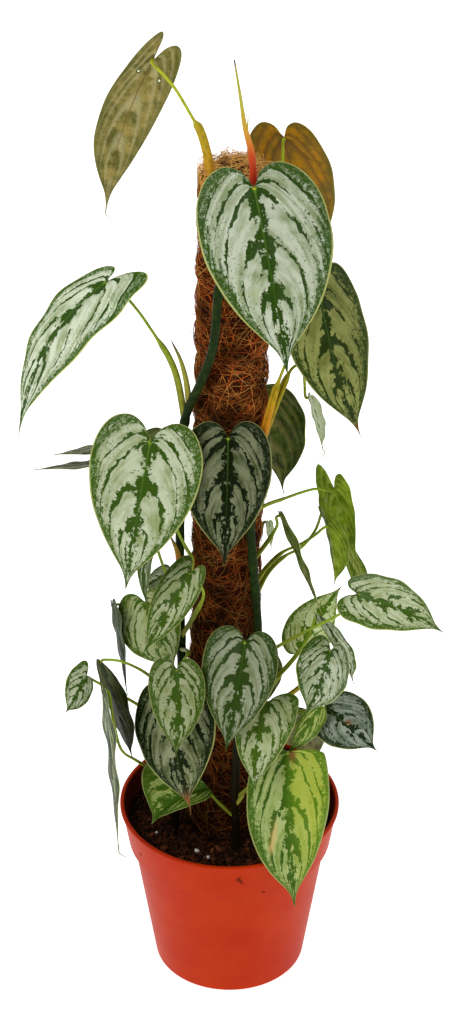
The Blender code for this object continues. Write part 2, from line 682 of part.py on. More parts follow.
def leaf_blade(leaf, finish):
    """One blade: its middle sheet thickened alike on both faces."""
    bands = 3 if leaf.axes()[0].length >= LONG_BLADE else 2
    places, triangles = blade_triangles(bands)
    sheet = [leaf.point(*place) for place in places]
    normals = [Vector((0, 0, 0)) for _ in sheet]
    for a, b, c in triangles:
        facing = (sheet[b] - sheet[a]).cross(sheet[c] - sheet[a])
        for corner in (a, b, c):
            normals[corner] += facing
    half = BLADE_THICKNESS / 2
    upper = [point + normal.normalized() * half for point, normal in zip(sheet, normals)]
    lower = [point - normal.normalized() * half for point, normal in zip(sheet, normals)]
    count = len(sheet)
    faces = list(triangles)
    faces += [(c + count, b + count, a + count) for a, b, c in triangles]
    for a, b in sorted(edge_of(triangles)):
        faces.append((b, a, a + count))
        faces.append((b, a + count, b + count))
    return add_object(f"leaf_{leaf.name}", upper + lower, faces, finish)


def build():
    clear_scene()
    pot()
    soil()
    pole_stake()
    coir_pole()
    stem_green = material("stem_green", (0.1, 0.16, 0.03), 0.5)
    for name in STEMS:
        vine(name, stem_green)
    new_shoot(material("shoot_yellow", (0.55, 0.5, 0.1), 0.45))
    looks = {
        "silver": material("leaf_silver", (0.42, 0.5, 0.38), 0.45),
        "dark": material("leaf_dark", (0.13, 0.2, 0.14), 0.45),
        "lime": material("leaf_lime", (0.25, 0.36, 0.06), 0.45),
        "bronze": material("leaf_bronze", (0.22, 0.15, 0.04), 0.5),
    }
    for leaf in LEAVES:
        leaf_blade(leaf, looks[leaf.look])


build()
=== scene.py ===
import math
import random
from dataclasses import dataclass

import bmesh
import bpy
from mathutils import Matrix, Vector, noise


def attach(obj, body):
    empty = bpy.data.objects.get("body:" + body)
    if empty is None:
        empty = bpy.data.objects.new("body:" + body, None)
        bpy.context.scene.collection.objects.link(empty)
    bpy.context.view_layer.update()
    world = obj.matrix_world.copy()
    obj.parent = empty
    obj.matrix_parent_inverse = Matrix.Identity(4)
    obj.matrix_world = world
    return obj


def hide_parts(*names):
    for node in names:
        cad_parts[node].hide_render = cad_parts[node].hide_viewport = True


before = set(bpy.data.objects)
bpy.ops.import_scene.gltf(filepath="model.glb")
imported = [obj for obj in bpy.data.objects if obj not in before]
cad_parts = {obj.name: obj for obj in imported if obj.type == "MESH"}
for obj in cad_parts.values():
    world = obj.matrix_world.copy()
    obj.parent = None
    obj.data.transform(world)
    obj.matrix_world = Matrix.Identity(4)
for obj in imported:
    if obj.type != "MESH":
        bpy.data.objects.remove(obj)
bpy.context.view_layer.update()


# The pot: a thin nursery pot, injection moulded in terracotta-coloured polypropylene. A deeper
# collar with a small lip stiffens the rim, and the foot has six drain holes. All the rest stands
# in it.
MM = 0.001
POT_HEIGHT = 144.0
POT_RIM_RADIUS = 85.0
POT_FOOT_RADIUS = 59.0
POT_COLLAR_FOOT = 109.5
POT_COLLAR_FOOT_RADIUS = 78.6
POT_STEP = 3.6
POT_WALL = 1.6
POT_LIP = 3.0
POT_SEGMENTS = 144
DRAIN_HOLES = 6
DRAIN_RADIUS = 4.5
DRAIN_CIRCLE_RADIUS = 38.0
DRAIN_TURN = 0.55
DRAIN_SIDES = 24
DRAIN_CUT = (-2, 6)
CORNER_EASE = 1.2
SHARP_ANGLE = 40


class Wire:
    """One socket of a finish, so that shader maths is written as plain sums."""

    def __init__(self, finish, socket):
        self.finish = finish
        self.socket = socket

    def maths(self, operation, *others):
        return self.finish.node("Math", {"operation": operation}, (self, *others))

    def __add__(self, other):
        return self.maths("ADD", other)

    def __mul__(self, other):
        return self.maths("MULTIPLY", other)

    __radd__ = __add__
    __rmul__ = __mul__

    def __sub__(self, other):
        return self.maths("SUBTRACT", other)

    def __rsub__(self, other):
        return self.finish.node("Math", {"operation": "SUBTRACT"}, (other, self))

    def __truediv__(self, other):
        return self.maths("DIVIDE", other)

    def __pow__(self, other):
        return self.maths("POWER", other)

    def __abs__(self):
        return self.maths("ABSOLUTE")

    def out(self, name):
        return Wire(self.finish, self.socket.node.outputs[name])

    def clamped(self):
        return self.finish.node("Clamp", {}, [self, 0.0, 1.0])

    def most(self, other):
        return self.maths("MAXIMUM", other)

    def folded(self, step):
        """How far it is from the nearest whole number of double steps."""
        return self.maths("PINGPONG", step)

    def above(self, level, softness):
        """0 well under the level, 1 well over it, with an edge this soft."""
        return ((self - level) / softness + 0.5).clamped()


class Finish:
    """A material of one of the plant's or the pot's surfaces."""

    def __init__(self, name, roughness, **constants):
        self.material = bpy.data.materials.new(name)
        self.material.use_nodes = True
        self.tree = self.material.node_tree
        self.shader = self.tree.nodes["Principled BSDF"]
        self.shader.inputs["Roughness"].default_value = roughness
        for socket, value in constants.items():
            self.shader.inputs[socket.replace("_", " ")].default_value = value

    def node(self, kind, settings, values=()):
        """A new node: its settings first, then its sockets' values or links, by place or name."""
        made = self.tree.nodes.new("ShaderNode" + kind)
        for setting, value in settings.items():
            if setting == "stops":
                self.set_stops(made.color_ramp, value)
            else:
                setattr(made, setting, value)
        shown = [socket for socket in made.inputs if socket.enabled]
        pairs = values.items() if isinstance(values, dict) else enumerate(values)
        by_name = {socket.name: socket for socket in reversed(shown)}
        for key, value in pairs:
            socket = shown[key] if isinstance(key, int) else by_name[key]
            if isinstance(value, Wire):
                self.tree.links.new(value.socket, socket)
            else:
                socket.default_value = value
        return Wire(self, next(socket for socket in made.outputs if socket.enabled))

    def set_stops(self, ramp, stops):
        while len(ramp.elements) < len(stops):
            ramp.elements.new(0.5)
        for element, (place, colour) in zip(ramp.elements, stops):
            element.position = place
            element.color = colour

    def mixed(self, first, second, share):
        return self.node("Mix", {"data_type": "RGBA"}, {"Factor": share, "A": first, "B": second})

    def scaled(self, colour, amount):
        return self.node("VectorMath", {"operation": "SCALE"}, {"Vector": colour, "Scale": amount})

    def attribute(self, name):
        return self.node("Attribute", {"attribute_name": name}).out("Vector")

    def parts(self, vector):
        split = self.node("SeparateXYZ", {}, [vector])
        return split, split.out("Y"), split.out("Z")

    def joined(self, *parts):
        return self.node("CombineXYZ", {}, parts)

    def place(self):
        """Where the surface is, in metres."""
        return self.node("TexCoord", {}).out("Object")

    def distance(self, where, spot):
        return self.node("VectorMath", {"operation": "DISTANCE"}, [where, spot]).out("Value")

    def speckle(self, where, scale, detail=2.0, roughness=0.5):
        settings = {"noise_dimensions": "3D"}
        values = {"Vector": where, "Scale": scale, "Detail": detail, "Roughness": roughness}
        return self.node("TexNoise", settings, values)

    def paints(self, colour=None, roughness=None, height=None, relief=0.001, strength=1.0):
        """Feeds what varies over the surface to the shader."""
        if colour is not None:
            self.tree.links.new(colour.socket, self.shader.inputs["Base Color"])
        if roughness is not None:
            self.tree.links.new(roughness.socket, self.shader.inputs["Roughness"])
        if height is not None:
            values = {"Strength": strength, "Distance": relief, "Height": height}
            bump = self.node("Bump", {}, values)
            self.tree.links.new(bump.socket, self.shader.inputs["Normal"])


def paint(red, green, blue):
    """A colour as an eye reads it off a colour card (0 to 255), for a colour socket."""
    levels = []
    for level in (red, green, blue):
        share = level / 255
        levels.append(share / 12.92 if share <= 0.04045 else ((share + 0.055) / 1.055) ** 2.4)
    return (*levels, 1.0)


def shape(name, points, faces, finishes, fields=None, finish_of_face=None):
    """A smooth mesh object from points in millimetres, with values kept at its points."""
    mesh = bpy.data.meshes.new(name)
    mesh.from_pydata([tuple(Vector(point) * MM) for point in points], [], faces)
    for field, values in (fields or {}).items():
        made = mesh.attributes.new(field, "FLOAT_VECTOR", "POINT")
        made.data.foreach_set("vector", [number for value in values for number in value])
    for finish in finishes:
        mesh.materials.append(finish.material)
    if finish_of_face:
        mesh.polygons.foreach_set("material_index", finish_of_face)
    mesh.shade_smooth()
    obj = bpy.data.objects.new(name, mesh)
    bpy.context.scene.collection.objects.link(obj)
    return obj


def stands_for(piece, node):
    """The finer piece takes the place of the plain solid."""
    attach(piece, "root")
    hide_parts(node)


def rounded(corners, ease, steps=4):
    """A profile whose corners are eased by a small radius."""
    eased = [corners[0]]
    for before, corner, after in zip(corners, corners[1:], corners[2:]):
        before, corner, after = Vector(before), Vector(corner), Vector(after)
        reach = min(ease, (before - corner).length / 2, (after - corner).length / 2)
        start = corner + (before - corner).normalized() * reach
        end = corner + (after - corner).normalized() * reach
        for i in range(steps + 1):
            share = i / steps
            spot = start.lerp(corner, share).lerp(corner.lerp(end, share), share)
            if (spot - Vector(eased[-1])).length > 0.02:
                eased.append(tuple(spot))
    eased.append(corners[-1])
    return eased


def turns(count, start=0.0):
    """Equal turns round an axis, in radians."""
    return [2 * math.pi * (k + start) / count for k in range(count)]


def ring(radius, height, count):
    """Points round the upright axis."""
    return [(radius * math.cos(t), radius * math.sin(t), height) for t in turns(count)]


def band(first, second, count):
    """The faces between two rings of points, each given by the number of its first point."""
    pairs = [(k, (k + 1) % count) for k in range(count)]
    return [(first + k, first + n, second + n, second + k) for k, n in pairs]


def fan(tip, first, count, downward=False):
    """The faces between a ring of points and one point over (or under) its middle."""
    faces = [(tip, first + k, first + (k + 1) % count) for k in range(count)]
    return [face[::-1] for face in faces] if downward else faces


def turned(profile, segments):
    """A body turned round Z from a profile that starts and ends on the axis."""
    points = [(0, 0, profile[0][1]), (0, 0, profile[-1][1])]
    faces = fan(0, len(points), segments, downward=True)
    for number, (radius, height) in enumerate(profile[1:-1]):
        first = len(points)
        points += ring(radius, height, segments)
        if number > 0:
            faces += band(first - segments, first, segments)
    return points, faces + fan(1, len(points) - segments, segments)


pot_profile = [
    (0, 1.2),
    (POT_FOOT_RADIUS - 9, 1.2),
    (POT_FOOT_RADIUS - 8, 0),
    (POT_FOOT_RADIUS - 0.8, 0),
    (POT_FOOT_RADIUS, 1.0),
    (POT_COLLAR_FOOT_RADIUS - POT_STEP, POT_COLLAR_FOOT - 1.0),
    (POT_COLLAR_FOOT_RADIUS, POT_COLLAR_FOOT),
    (POT_RIM_RADIUS - POT_LIP / 2, POT_HEIGHT - 3.6),
    (POT_RIM_RADIUS, POT_HEIGHT - 2.9),
    (POT_RIM_RADIUS, POT_HEIGHT),
    (POT_RIM_RADIUS - POT_LIP + 0.4, POT_HEIGHT),
    (POT_RIM_RADIUS - POT_LIP - 1.0, POT_HEIGHT - 2.0),
    (POT_COLLAR_FOOT_RADIUS - POT_WALL, POT_COLLAR_FOOT + POT_WALL),
    (POT_COLLAR_FOOT_RADIUS - POT_STEP - POT_WALL, POT_COLLAR_FOOT),
    (POT_FOOT_RADIUS - POT_WALL, POT_WALL + 1.4),
    (0, POT_WALL + 1.4),
]
# Smears of wet soil on the outside of the pot: where they are, in metres, and how far they reach.
SMEARS = [
    ((0.0065, -0.0825, 0.132), 0.0034),
    ((0.0075, -0.082, 0.1295), 0.003),
    ((0.0085, -0.0815, 0.127), 0.0028),
    ((0.010, -0.0805, 0.1245), 0.0026),
    ((0.026, -0.0755, 0.113), 0.0032),
    ((0.033, -0.069, 0.1065), 0.0026),
    ((-0.068, -0.044, 0.124), 0.005),
]

terracotta = Finish("terracotta_plastic", 0.45, Specular_IOR_Level=0.04)
where = terracotta.place()
cloud = terracotta.speckle(where, 26.0, 4.0)
grain = terracotta.speckle(where, 950.0, 2.0)
smear = terracotta.speckle(where, 300.0, 4.0, 0.7)
near = 0.0
for spot, reach in SMEARS:
    near = (1 - terracotta.distance(where, spot) / reach).clamped() + near
dirt = (smear + near * 0.35).above(0.72, 0.12)
tone = terracotta.mixed(paint(183, 50, 6), paint(174, 40, 4), cloud.above(0.5, 0.3))
tone = terracotta.mixed(tone, paint(198, 66, 24), grain.above(0.6, 0.2) * 0.3)
tone = terracotta.mixed(tone, paint(88, 26, 12), dirt * 0.75)
pot_x, pot_y, pot_z = terracotta.parts(where)
radius = (pot_x * pot_x + pot_y * pot_y) ** 0.5
collar_flare = POT_RIM_RADIUS - POT_LIP / 2 - POT_COLLAR_FOOT_RADIUS
collar_slope = collar_flare / (POT_HEIGHT - POT_COLLAR_FOOT)
wall = POT_COLLAR_FOOT_RADIUS * MM + (pot_z - POT_COLLAR_FOOT * MM) * collar_slope
# Painted shade: the inner face of the rim is painted dark, and a painted shadow line lies in
# the corner under the collar.
painted_inner_shade = (wall - 0.0013 - radius).above(0.0, 0.0006) * pot_z.above(0.11, 0.001)
tone = terracotta.mixed(tone, paint(74, 28, 14), painted_inner_shade * 0.85)
# A painted shadow: a dark red line just under the foot of the collar.
painted_crease_shadow = (1 - abs(pot_z - POT_COLLAR_FOOT * MM + 0.0006) / 0.0011).clamped()
tone = terracotta.mixed(tone, paint(112, 22, 6), painted_crease_shadow * 0.7)
terracotta.paints(
    colour=tone,
    roughness=0.38 + cloud * 0.1 + dirt * 0.3,
    height=grain * 0.35 + cloud,
    relief=0.0004,
    strength=0.35,
)
points, faces = turned(rounded(pot_profile, CORNER_EASE), POT_SEGMENTS)
pot_shell = shape("pot_shell", points, faces, [terracotta])
low, high = DRAIN_CUT
plug = [(0, low), (DRAIN_RADIUS, low), (DRAIN_RADIUS, high), (0, high)]
drains = []
for k, turn in enumerate(turns(DRAIN_HOLES, DRAIN_TURN)):
    x, y = DRAIN_CIRCLE_RADIUS * math.cos(turn), DRAIN_CIRCLE_RADIUS * math.sin(turn)
    points, faces = turned(plug, DRAIN_SIDES)
    points = [(px + x, py + y, pz) for px, py, pz in points]
    drains.append(shape(f"drain_cutter_{k}", points, faces, [terracotta]))
    bore = pot_shell.modifiers.new("drain", "BOOLEAN")
    bore.object = drains[-1]
bpy.context.view_layer.update()
graph = bpy.context.evaluated_depsgraph_get()
bored = bpy.data.meshes.new_from_object(pot_shell.evaluated_get(graph))
pot_shell.modifiers.clear()
pot_shell.data = bored
for drain in drains:
    bpy.data.objects.remove(drain)
bored.shade_smooth()
bored.set_sharp_from_angle(angle=math.radians(SHARP_ANGLE))
stands_for(pot_shell, "pot")


# The potting mix: dark peat with bark chips, coir dust and a few grains of perlite, filled to
# about 17 mm under the rim and roughly levelled by hand.
SOIL_TOP = 127.0
SOIL_RADIUS = 78.2
# The sides of the bed, down the stepped inside of the pot: radius and height.
SOIL_SKIRT = [(76.6, 111.8), (73.0, 109.8), (57.0, 3.4)]
SOIL_RINGS = 52
SOIL_SPOKES = 132
SOIL_LUMP = 2.6
CRUMBS = 2300
CRUMB_SIZES = (0.6, 2.7)
BARK_CHIPS = 150
BARK_SIZES = (1.8, 5.0)
PERLITE_GRAINS = 22
PERLITE_SIZES = (0.7, 1.5)
LARGE_PERLITE = [(-25, -43), (-17, -51), (-1, -65)]
LARGE_PERLITE_SIZES = (2.6, 3.3)
SCATTER_REACH = 77.0
POLE_X = -8.0
POLE_CLEARING = 27.0


def soil_height(x, y):
    broad = noise.noise(Vector((x, y, 3)) * 0.055)
    fine = noise.noise(Vector((x, y, 9)) * 0.21)
    grit = noise.noise(Vector((x, y, 5)) * 0.55)
    heaped = 1.6 * math.exp(-((x - POLE_X) ** 2 + y * y) / 1600)
    return SOIL_TOP - 1.6 + heaped + SOIL_LUMP * (0.5 * broad + 0.35 * fine + 0.2 * grit)


peat = Finish("potting_mix", 0.92, Specular_IOR_Level=0.06)
where = peat.place()
clod = peat.speckle(where, 210.0, 6.0, 0.7)
fleck = peat.speckle(where, 900.0, 3.0)
soil_share, soil_hue, _ = peat.parts(peat.attribute("crumb"))
tone = peat.mixed(paint(17, 8, 5), paint(62, 36, 24), clod.above(0.56, 0.25))
tone = peat.mixed(tone, paint(112, 62, 36), fleck.above(0.66, 0.06) * 0.7)
tone = peat.mixed(tone, peat.mixed(paint(58, 32, 20), paint(132, 72, 42), soil_hue), soil_share)
peat.paints(colour=tone, height=clod + fleck * 0.4, relief=0.0012)

points = [(0, 0, soil_height(0, 0))]
for i in range(1, SOIL_RINGS + 1):
    level = ring(SOIL_RADIUS * i / SOIL_RINGS, 0, SOIL_SPOKES)
    points += [(x, y, soil_height(x, y)) for x, y, _ in level]
for radius, height in SOIL_SKIRT:
    points += ring(radius, height, SOIL_SPOKES)
faces = fan(0, 1, SOIL_SPOKES)
for first in range(1, len(points) - SOIL_SPOKES, SOIL_SPOKES):
    faces += band(first + SOIL_SPOKES, first, SOIL_SPOKES)
faces.append(tuple(range(len(points) - 1, len(points) - SOIL_SPOKES - 1, -1)))
soil_bed = shape("soil_bed", points, faces, [peat], {"crumb": [(0, 0, 0)] * len(points)})
stands_for(soil_bed, "soil")

icosahedron = bmesh.new()
bmesh.ops.create_icosphere(icosahedron, subdivisions=1, radius=1.0)
LUMP_POINTS = [tuple(vertex.co) for vertex in icosahedron.verts]
LUMP_FACES = [tuple(vertex.index for vertex in face.verts) for face in icosahedron.faces]
icosahedron.free()


def scattered(draw, count, reach=SCATTER_REACH):
    """Places on the soil, in the pot and off the pole."""
    found = []
    while len(found) < count:
        x, y = draw.uniform(-reach, reach), draw.uniform(-reach, reach)
        clear = (x - POLE_X) ** 2 + y * y > POLE_CLEARING ** 2
        if x * x + y * y < reach * reach and clear:
            found.append((x, y))
    return found


def lumps(draw, places, sizes, flatness, sink):
    """Small broken lumps lying on the soil: points, faces and the number of each point's lump."""
    points = []
    faces = []
    owners = []
    for number, (x, y) in enumerate(places):
        size = draw.uniform(*sizes)
        stretch = Vector((1, draw.uniform(0.5, 0.9), draw.uniform(*flatness))) * size
        turn = draw.uniform(0, 2 * math.pi)
        tilt = draw.uniform(-0.5, 0.5)
        z = soil_height(x, y) + stretch.z * (1 - sink)
        base = len(points)
        for px, py, pz in LUMP_POINTS:
            rough = draw.uniform(0.75, 1.15)
            ax, ay, az = px * stretch.x * rough, py * stretch.y * rough, pz * stretch.z * rough
            tilted = ax * math.cos(tilt) - az * math.sin(tilt)
            raised = ax * math.sin(tilt) + az * math.cos(tilt)
            bx = tilted * math.cos(turn) - ay * math.sin(turn)
            by = tilted * math.sin(turn) + ay * math.cos(turn)
            points.append((x + bx, y + by, z + raised))
            owners.append(number)
        faces += [tuple(base + corner for corner in face) for face in LUMP_FACES]
    return points, faces, owners


draw = random.Random(21)
points, faces, owners = lumps(draw, scattered(draw, CRUMBS), CRUMB_SIZES, (0.5, 0.9), 0.5)
hues = [(draw.uniform(0.0, 0.6), draw.uniform(0, 0.5), 0) for _ in range(CRUMBS)]
soil_crumbs = shape("soil_crumbs", points, faces, [peat], {"crumb": [hues[n] for n in owners]})
stands_for(soil_crumbs, "soil")

points, faces, owners = lumps(draw, scattered(draw, BARK_CHIPS), BARK_SIZES, (0.2, 0.4), 0.15)
hues = [(draw.uniform(0.4, 1.0), draw.uniform(0.1, 0.9), 0) for _ in range(BARK_CHIPS)]
bark_chips = shape("bark_chips", points, faces, [peat], {"crumb": [hues[n] for n in owners]})
stands_for(bark_chips, "soil")

perlite = Finish("perlite", 0.85, Specular_IOR_Level=0.3)
puff = perlite.speckle(perlite.place(), 1500.0, 3.0)
perlite.paints(
    colour=perlite.mixed(paint(206, 196, 180), paint(246, 242, 232), puff.above(0.5, 0.3)),
    height=puff,
    relief=0.0005,
)
grain_places = scattered(draw, PERLITE_GRAINS)
points, faces, _ = lumps(draw, grain_places, PERLITE_SIZES, (0.5, 0.9), 0.15)
perlite_grains = shape("perlite_grains", points, faces, [perlite])
stands_for(perlite_grains, "soil")
points, faces, _ = lumps(draw, LARGE_PERLITE, LARGE_PERLITE_SIZES, (0.45, 0.6), 0.05)
large_perlite = shape("large_perlite", points, faces, [perlite])
stands_for(large_perlite, "soil")


# The moss pole: a plain wooden rod, wrapped in a thick mat of coconut coir that is tied in at
# even steps. Loose fibres stand out all round and make a tuft on top.
POLE_FOOT = Vector((POLE_X, 0.0, 125.0))
POLE_TOP = Vector((4.0, 0.0, 674.0))
COIR_BOTTOM = 48.0
COIR_RADIUS = 24.7
COIR_WAIST = 2.3
COIR_WAIST_SPACING = 27.0
COIR_SIDES = 96
COIR_RING = 2.5
FIBRE_STEPS = 9
FIBRES = 5200
FIBRE_LENGTHS = (16, 46)
FIBRE_RADII = (0.11, 0.26)
TUFT_FIBRES = 620
TUFT_RADII = (0.12, 0.26)
STRAY_FIBRES = 330
STRAY_LENGTHS = (12, 34)
STRAY_REACHES = (3, 11)
STRAY_RADII = (0.1, 0.19)
SHED_FIBRES = 420
SHED_RADII = (0.1, 0.24)
SHED_REACH = 70.0
SHED_LIMIT = 73.0
# The mat under the loose fibres is painted almost black: painted shade in the gaps between them.
MAT_PAINTED_SHADE = 0.05


def pole_centre(height):
    share = (height - POLE_FOOT.z) / (POLE_TOP.z - POLE_FOOT.z)
    return POLE_FOOT.lerp(POLE_TOP, share)


def outward(turn):
    """A step of 1 away from an upright axis."""
    return Vector((math.cos(turn), math.sin(turn), 0))


def coir_radius(turn, z):
    """How far the mat bulges between its ties."""
    x, y = math.cos(turn), math.sin(turn)
    tie = abs(math.sin(math.pi * (z - COIR_BOTTOM) / COIR_WAIST_SPACING))
    lump = noise.noise(Vector((x * 1.6, y * 1.6, z * 0.035)))
    knot = noise.noise(Vector((x * 5, y * 5, z * 0.16)))
    crown = max(0.0, z - POLE_TOP.z + 9) / 9
    round_off = math.sqrt(max(0.0, 1 - crown * crown)) if crown < 1 else 0
    radius = COIR_RADIUS + COIR_WAIST * (tie ** 0.7 - 0.6) + 1.5 * lump + 0.7 * knot
    return radius * (0.35 + 0.65 * round_off)


wood = Finish("stake_wood", 0.72)
where = wood.place()
stretched = wood.node("VectorMath", {"operation": "MULTIPLY"}, [where, (240.0, 240.0, 9.0)])
wood_grain = wood.speckle(stretched, 1.0, 4.0)
wood.paints(
    colour=wood.mixed(paint(196, 158, 108), paint(140, 100, 60), wood_grain.above(0.5, 0.3)),
    height=wood_grain,
    relief=0.0004,
)
pole_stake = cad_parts["pole_stake"]
pole_stake.data.materials.clear()
pole_stake.data.materials.append(wood.material)

coir = Finish("coir", 0.85, Specular_IOR_Level=0.06)
strand_shade, strand_gold, _ = coir.parts(coir.attribute("strand"))
where = coir.place()
patch = coir.speckle(where, 55.0, 3.0)
dust = coir.speckle(where, 700.0, 3.0)
tone = coir.mixed(paint(11, 3, 1), paint(238, 112, 42), strand_shade)
tone = coir.mixed(tone, paint(255, 190, 96), strand_gold)
tone = coir.mixed(tone, paint(26, 10, 3), patch.above(0.56, 0.2) * 0.7)
_, _, coir_height = coir.parts(where)
# Painted shade: the coir is painted darker towards the foot of the pole, under the leaves.
tone = coir.scaled(tone, 0.45 + coir_height.above(0.33, 0.5) * 0.55)
# On top the brighter strands are painted pale gold: partly the straw colour of the tuft, partly
# painted light where the lamps fall on it.
straw_and_painted_light = coir_height.above(0.671, 0.012) * (strand_shade - 0.35).clamped()
tone = coir.mixed(tone, paint(255, 206, 116), straw_and_painted_light)
coir.paints(colour=tone, height=dust, relief=0.0006, strength=0.6)

points = []
faces = []
rings = round((POLE_TOP.z - COIR_BOTTOM) / COIR_RING)
for i in range(rings + 1):
    z = COIR_BOTTOM + (POLE_TOP.z - COIR_BOTTOM) * i / rings
    centre = pole_centre(z)
    for turn in turns(COIR_SIDES):
        matted = noise.noise(Vector((math.cos(turn) * 14, math.sin(turn) * 14, z * 0.5)))
        points.append(centre + outward(turn) * (coir_radius(turn, z) + 0.9 * matted - 1.2))
    if i > 0:
        faces += band((i - 1) * COIR_SIDES, i * COIR_SIDES, COIR_SIDES)
faces += fan(len(points), rings * COIR_SIDES, COIR_SIDES)
points.append(pole_centre(POLE_TOP.z + 0.5))
faces += fan(len(points), 0, COIR_SIDES, downward=True)
points.append(pole_centre(COIR_BOTTOM))
# The mat takes the painted shade of the gaps between the fibres.
shades = [(MAT_PAINTED_SHADE, 0, 0)] * len(points)
coir_mat = shape("coir_mat", points, faces, [coir], {"strand": shades})
stands_for(coir_mat, "coir_pole")


def strands_mesh(name, strands):
    """Thin three-sided strands; each is its points, its radius and its (shade, gold)."""
    points = []
    faces = []
    fields = []
    for course, radius, (shade, gold) in strands:
        base = len(points)
        last = len(course) - 1
        for i, centre in enumerate(course):
            forward = (course[min(i + 1, last)] - course[max(i - 1, 0)]).normalized()
            across = forward.orthogonal().normalized()
            beside = forward.cross(across)
            thin = radius * (0.35 if i in (0, last) else 1.0)
            for turn in turns(3):
                points.append(centre + (across * math.cos(turn) + beside * math.sin(turn)) * thin)
                fields.append((shade, gold, 0))
            if i > 0:
                faces += band(len(points) - 6, len(points) - 3, 3)
        faces.append((base + 2, base + 1, base))
        faces.append((len(points) - 3, len(points) - 2, len(points) - 1))
    return shape(name, points, faces, [coir], {"strand": fields})


def lying_fibre(draw, z, heading, length, stand_out):
    """A fibre that wanders over the mat; its ends may stand out from it."""
    turn = draw.uniform(0, 2 * math.pi)
    curl = draw.uniform(-0.09, 0.09)
    lift = draw.uniform(-0.7, 0.9)
    step = length / FIBRE_STEPS
    course = []
    for i in range(FIBRE_STEPS + 1):
        share = i / FIBRE_STEPS
        z = min(max(z, COIR_BOTTOM + 60), POLE_TOP.z - 1)
        radius = coir_radius(turn, z) + lift + 0.5 * math.sin(3 * share + turn)
        radius += stand_out * share ** 3
        course.append(pole_centre(z) + outward(turn) * radius)
        turn += math.cos(heading) * step / COIR_RADIUS
        z += math.sin(heading) * step
        heading += curl * step * 0.35 + draw.uniform(-0.12, 0.12)
    return course


def strand_tone(draw):
    """A strand's (shade, gold): most are dark, and a few are golden."""
    gold = draw.random() ** 2.8
    return 0.02 + 1.2 * draw.random() ** 1.6, gold * 0.9


draw = random.Random(33)
strands = []
for _ in range(FIBRES):
    z = draw.uniform(COIR_BOTTOM + 64, POLE_TOP.z - 2)
    heading = draw.choice((-1, 1)) * draw.gauss(0.65, 0.5)
    if draw.random() < 0.25:
        heading = draw.uniform(0, math.pi)
    stand_out = max(0.0, draw.gauss(-0.5, 1.2))
    course = lying_fibre(draw, z, heading, draw.uniform(*FIBRE_LENGTHS), stand_out)
    strands.append((course, draw.uniform(*FIBRE_RADII), strand_tone(draw)))
half = len(strands) // 2
for number, part in enumerate((strands[:half], strands[half:])):
    stands_for(strands_mesh(f"coir_fibres_{number}", part), "coir_pole")

strands = []
for _ in range(TUFT_FIBRES):
    turn = draw.uniform(0, 2 * math.pi)
    reach = COIR_RADIUS * draw.random() ** 0.5
    heading = draw.uniform(0, 2 * math.pi)
    rise = draw.uniform(-0.1, 0.45)
    step = draw.uniform(1.6, 3.4)
    middle = pole_centre(POLE_TOP.z)
    spot = middle + outward(turn) * reach
    spot.z += draw.uniform(-3.5, 2.5) - 3 * (reach / COIR_RADIUS) ** 4
    course = []
    for i in range(FIBRE_STEPS):
        course.append(spot.copy())
        spot += Vector((math.cos(heading), math.sin(heading), rise)) * step
        out = Vector((spot.x - middle.x, spot.y - middle.y, 0))
        if out.length > COIR_RADIUS + 1:
            spot -= out * (1 - (COIR_RADIUS + 1) / out.length)
            spot.z -= 0.5 * step
        heading += draw.uniform(-0.5, 0.5)
        rise -= 0.06 * step
    radius = draw.uniform(*TUFT_RADII)
    strands.append((course, radius, (draw.uniform(0.8, 1.2), draw.uniform(0.9, 1.6))))
for _ in range(STRAY_FIBRES):
    z = draw.uniform(COIR_BOTTOM + 90, POLE_TOP.z - 4)
    heading, length = draw.uniform(-1.4, 1.4), draw.uniform(*STRAY_LENGTHS)
    course = lying_fibre(draw, z, heading, length, draw.uniform(*STRAY_REACHES))
    radius = draw.uniform(*STRAY_RADII)
    strands.append((course, radius, (draw.uniform(0.3, 0.9), draw.uniform(0, 0.5))))
stands_for(strands_mesh("coir_tuft", strands), "coir_pole")

strands = []
for x, y in scattered(draw, SHED_FIBRES, SHED_REACH):
    heading = draw.uniform(0, 2 * math.pi)
    step = draw.uniform(0.7, 1.6)
    arch = draw.uniform(0.4, 3.0)
    course = []
    for i in range(FIBRE_STEPS):
        height = soil_height(x, y) + 0.8 + arch * math.sin(math.pi * i / (FIBRE_STEPS - 1))
        course.append(Vector((x, y, height)))
        heading += draw.uniform(-0.5, 0.5)
        if x * x + y * y > SHED_LIMIT ** 2:
            heading = math.atan2(-y, -x)
        x += math.cos(heading) * step
        y += math.sin(heading) * step
    radius = draw.uniform(*SHED_RADII)
    strands.append((course, radius, (draw.uniform(0.08, 0.5), draw.uniform(0, 0.2))))
stands_for(strands_mesh("shed_fibres", strands), "soil")


# The four vines: dark green stems that climb the coir, and the stalks of their leaves. A stalk
# starts as a broad grooved sheath, orange where it is young, and ends as a slim yellow-green one.

# A stalk ends under its blade, so the blades' places come first. Each is a heart-shaped leaf with
# a drip tip: it is given by where its stalk joins, its tip and the widest point of each half, in
# millimetres, as the plant grew.
BLADE_WIDEST = 0.20
EDGE_WAVE = 0.012
EDGE_WAVES = 3.0
BLADE_THICKNESS = 0.6
STALK_LANDING = 4.15
WAVING_WIDTH = 14.0
# The finer outline would round the lobes off a little higher than the solids do.
LOBE_EASE = 0.985

HALF_OUTLINE = (
    (0.00, 0.000),
    (0.15, -0.095),
    (0.42, -0.135),
    (0.72, -0.085),
    (0.93, 0.040),
    (1.00, 0.200),
    (0.955, 0.360),
    (0.80, 0.520),
    (0.58, 0.660),
    (0.34, 0.770),
    (0.14, 0.855),
    (0.045, 0.925),
    (0.00, 1.000),
)


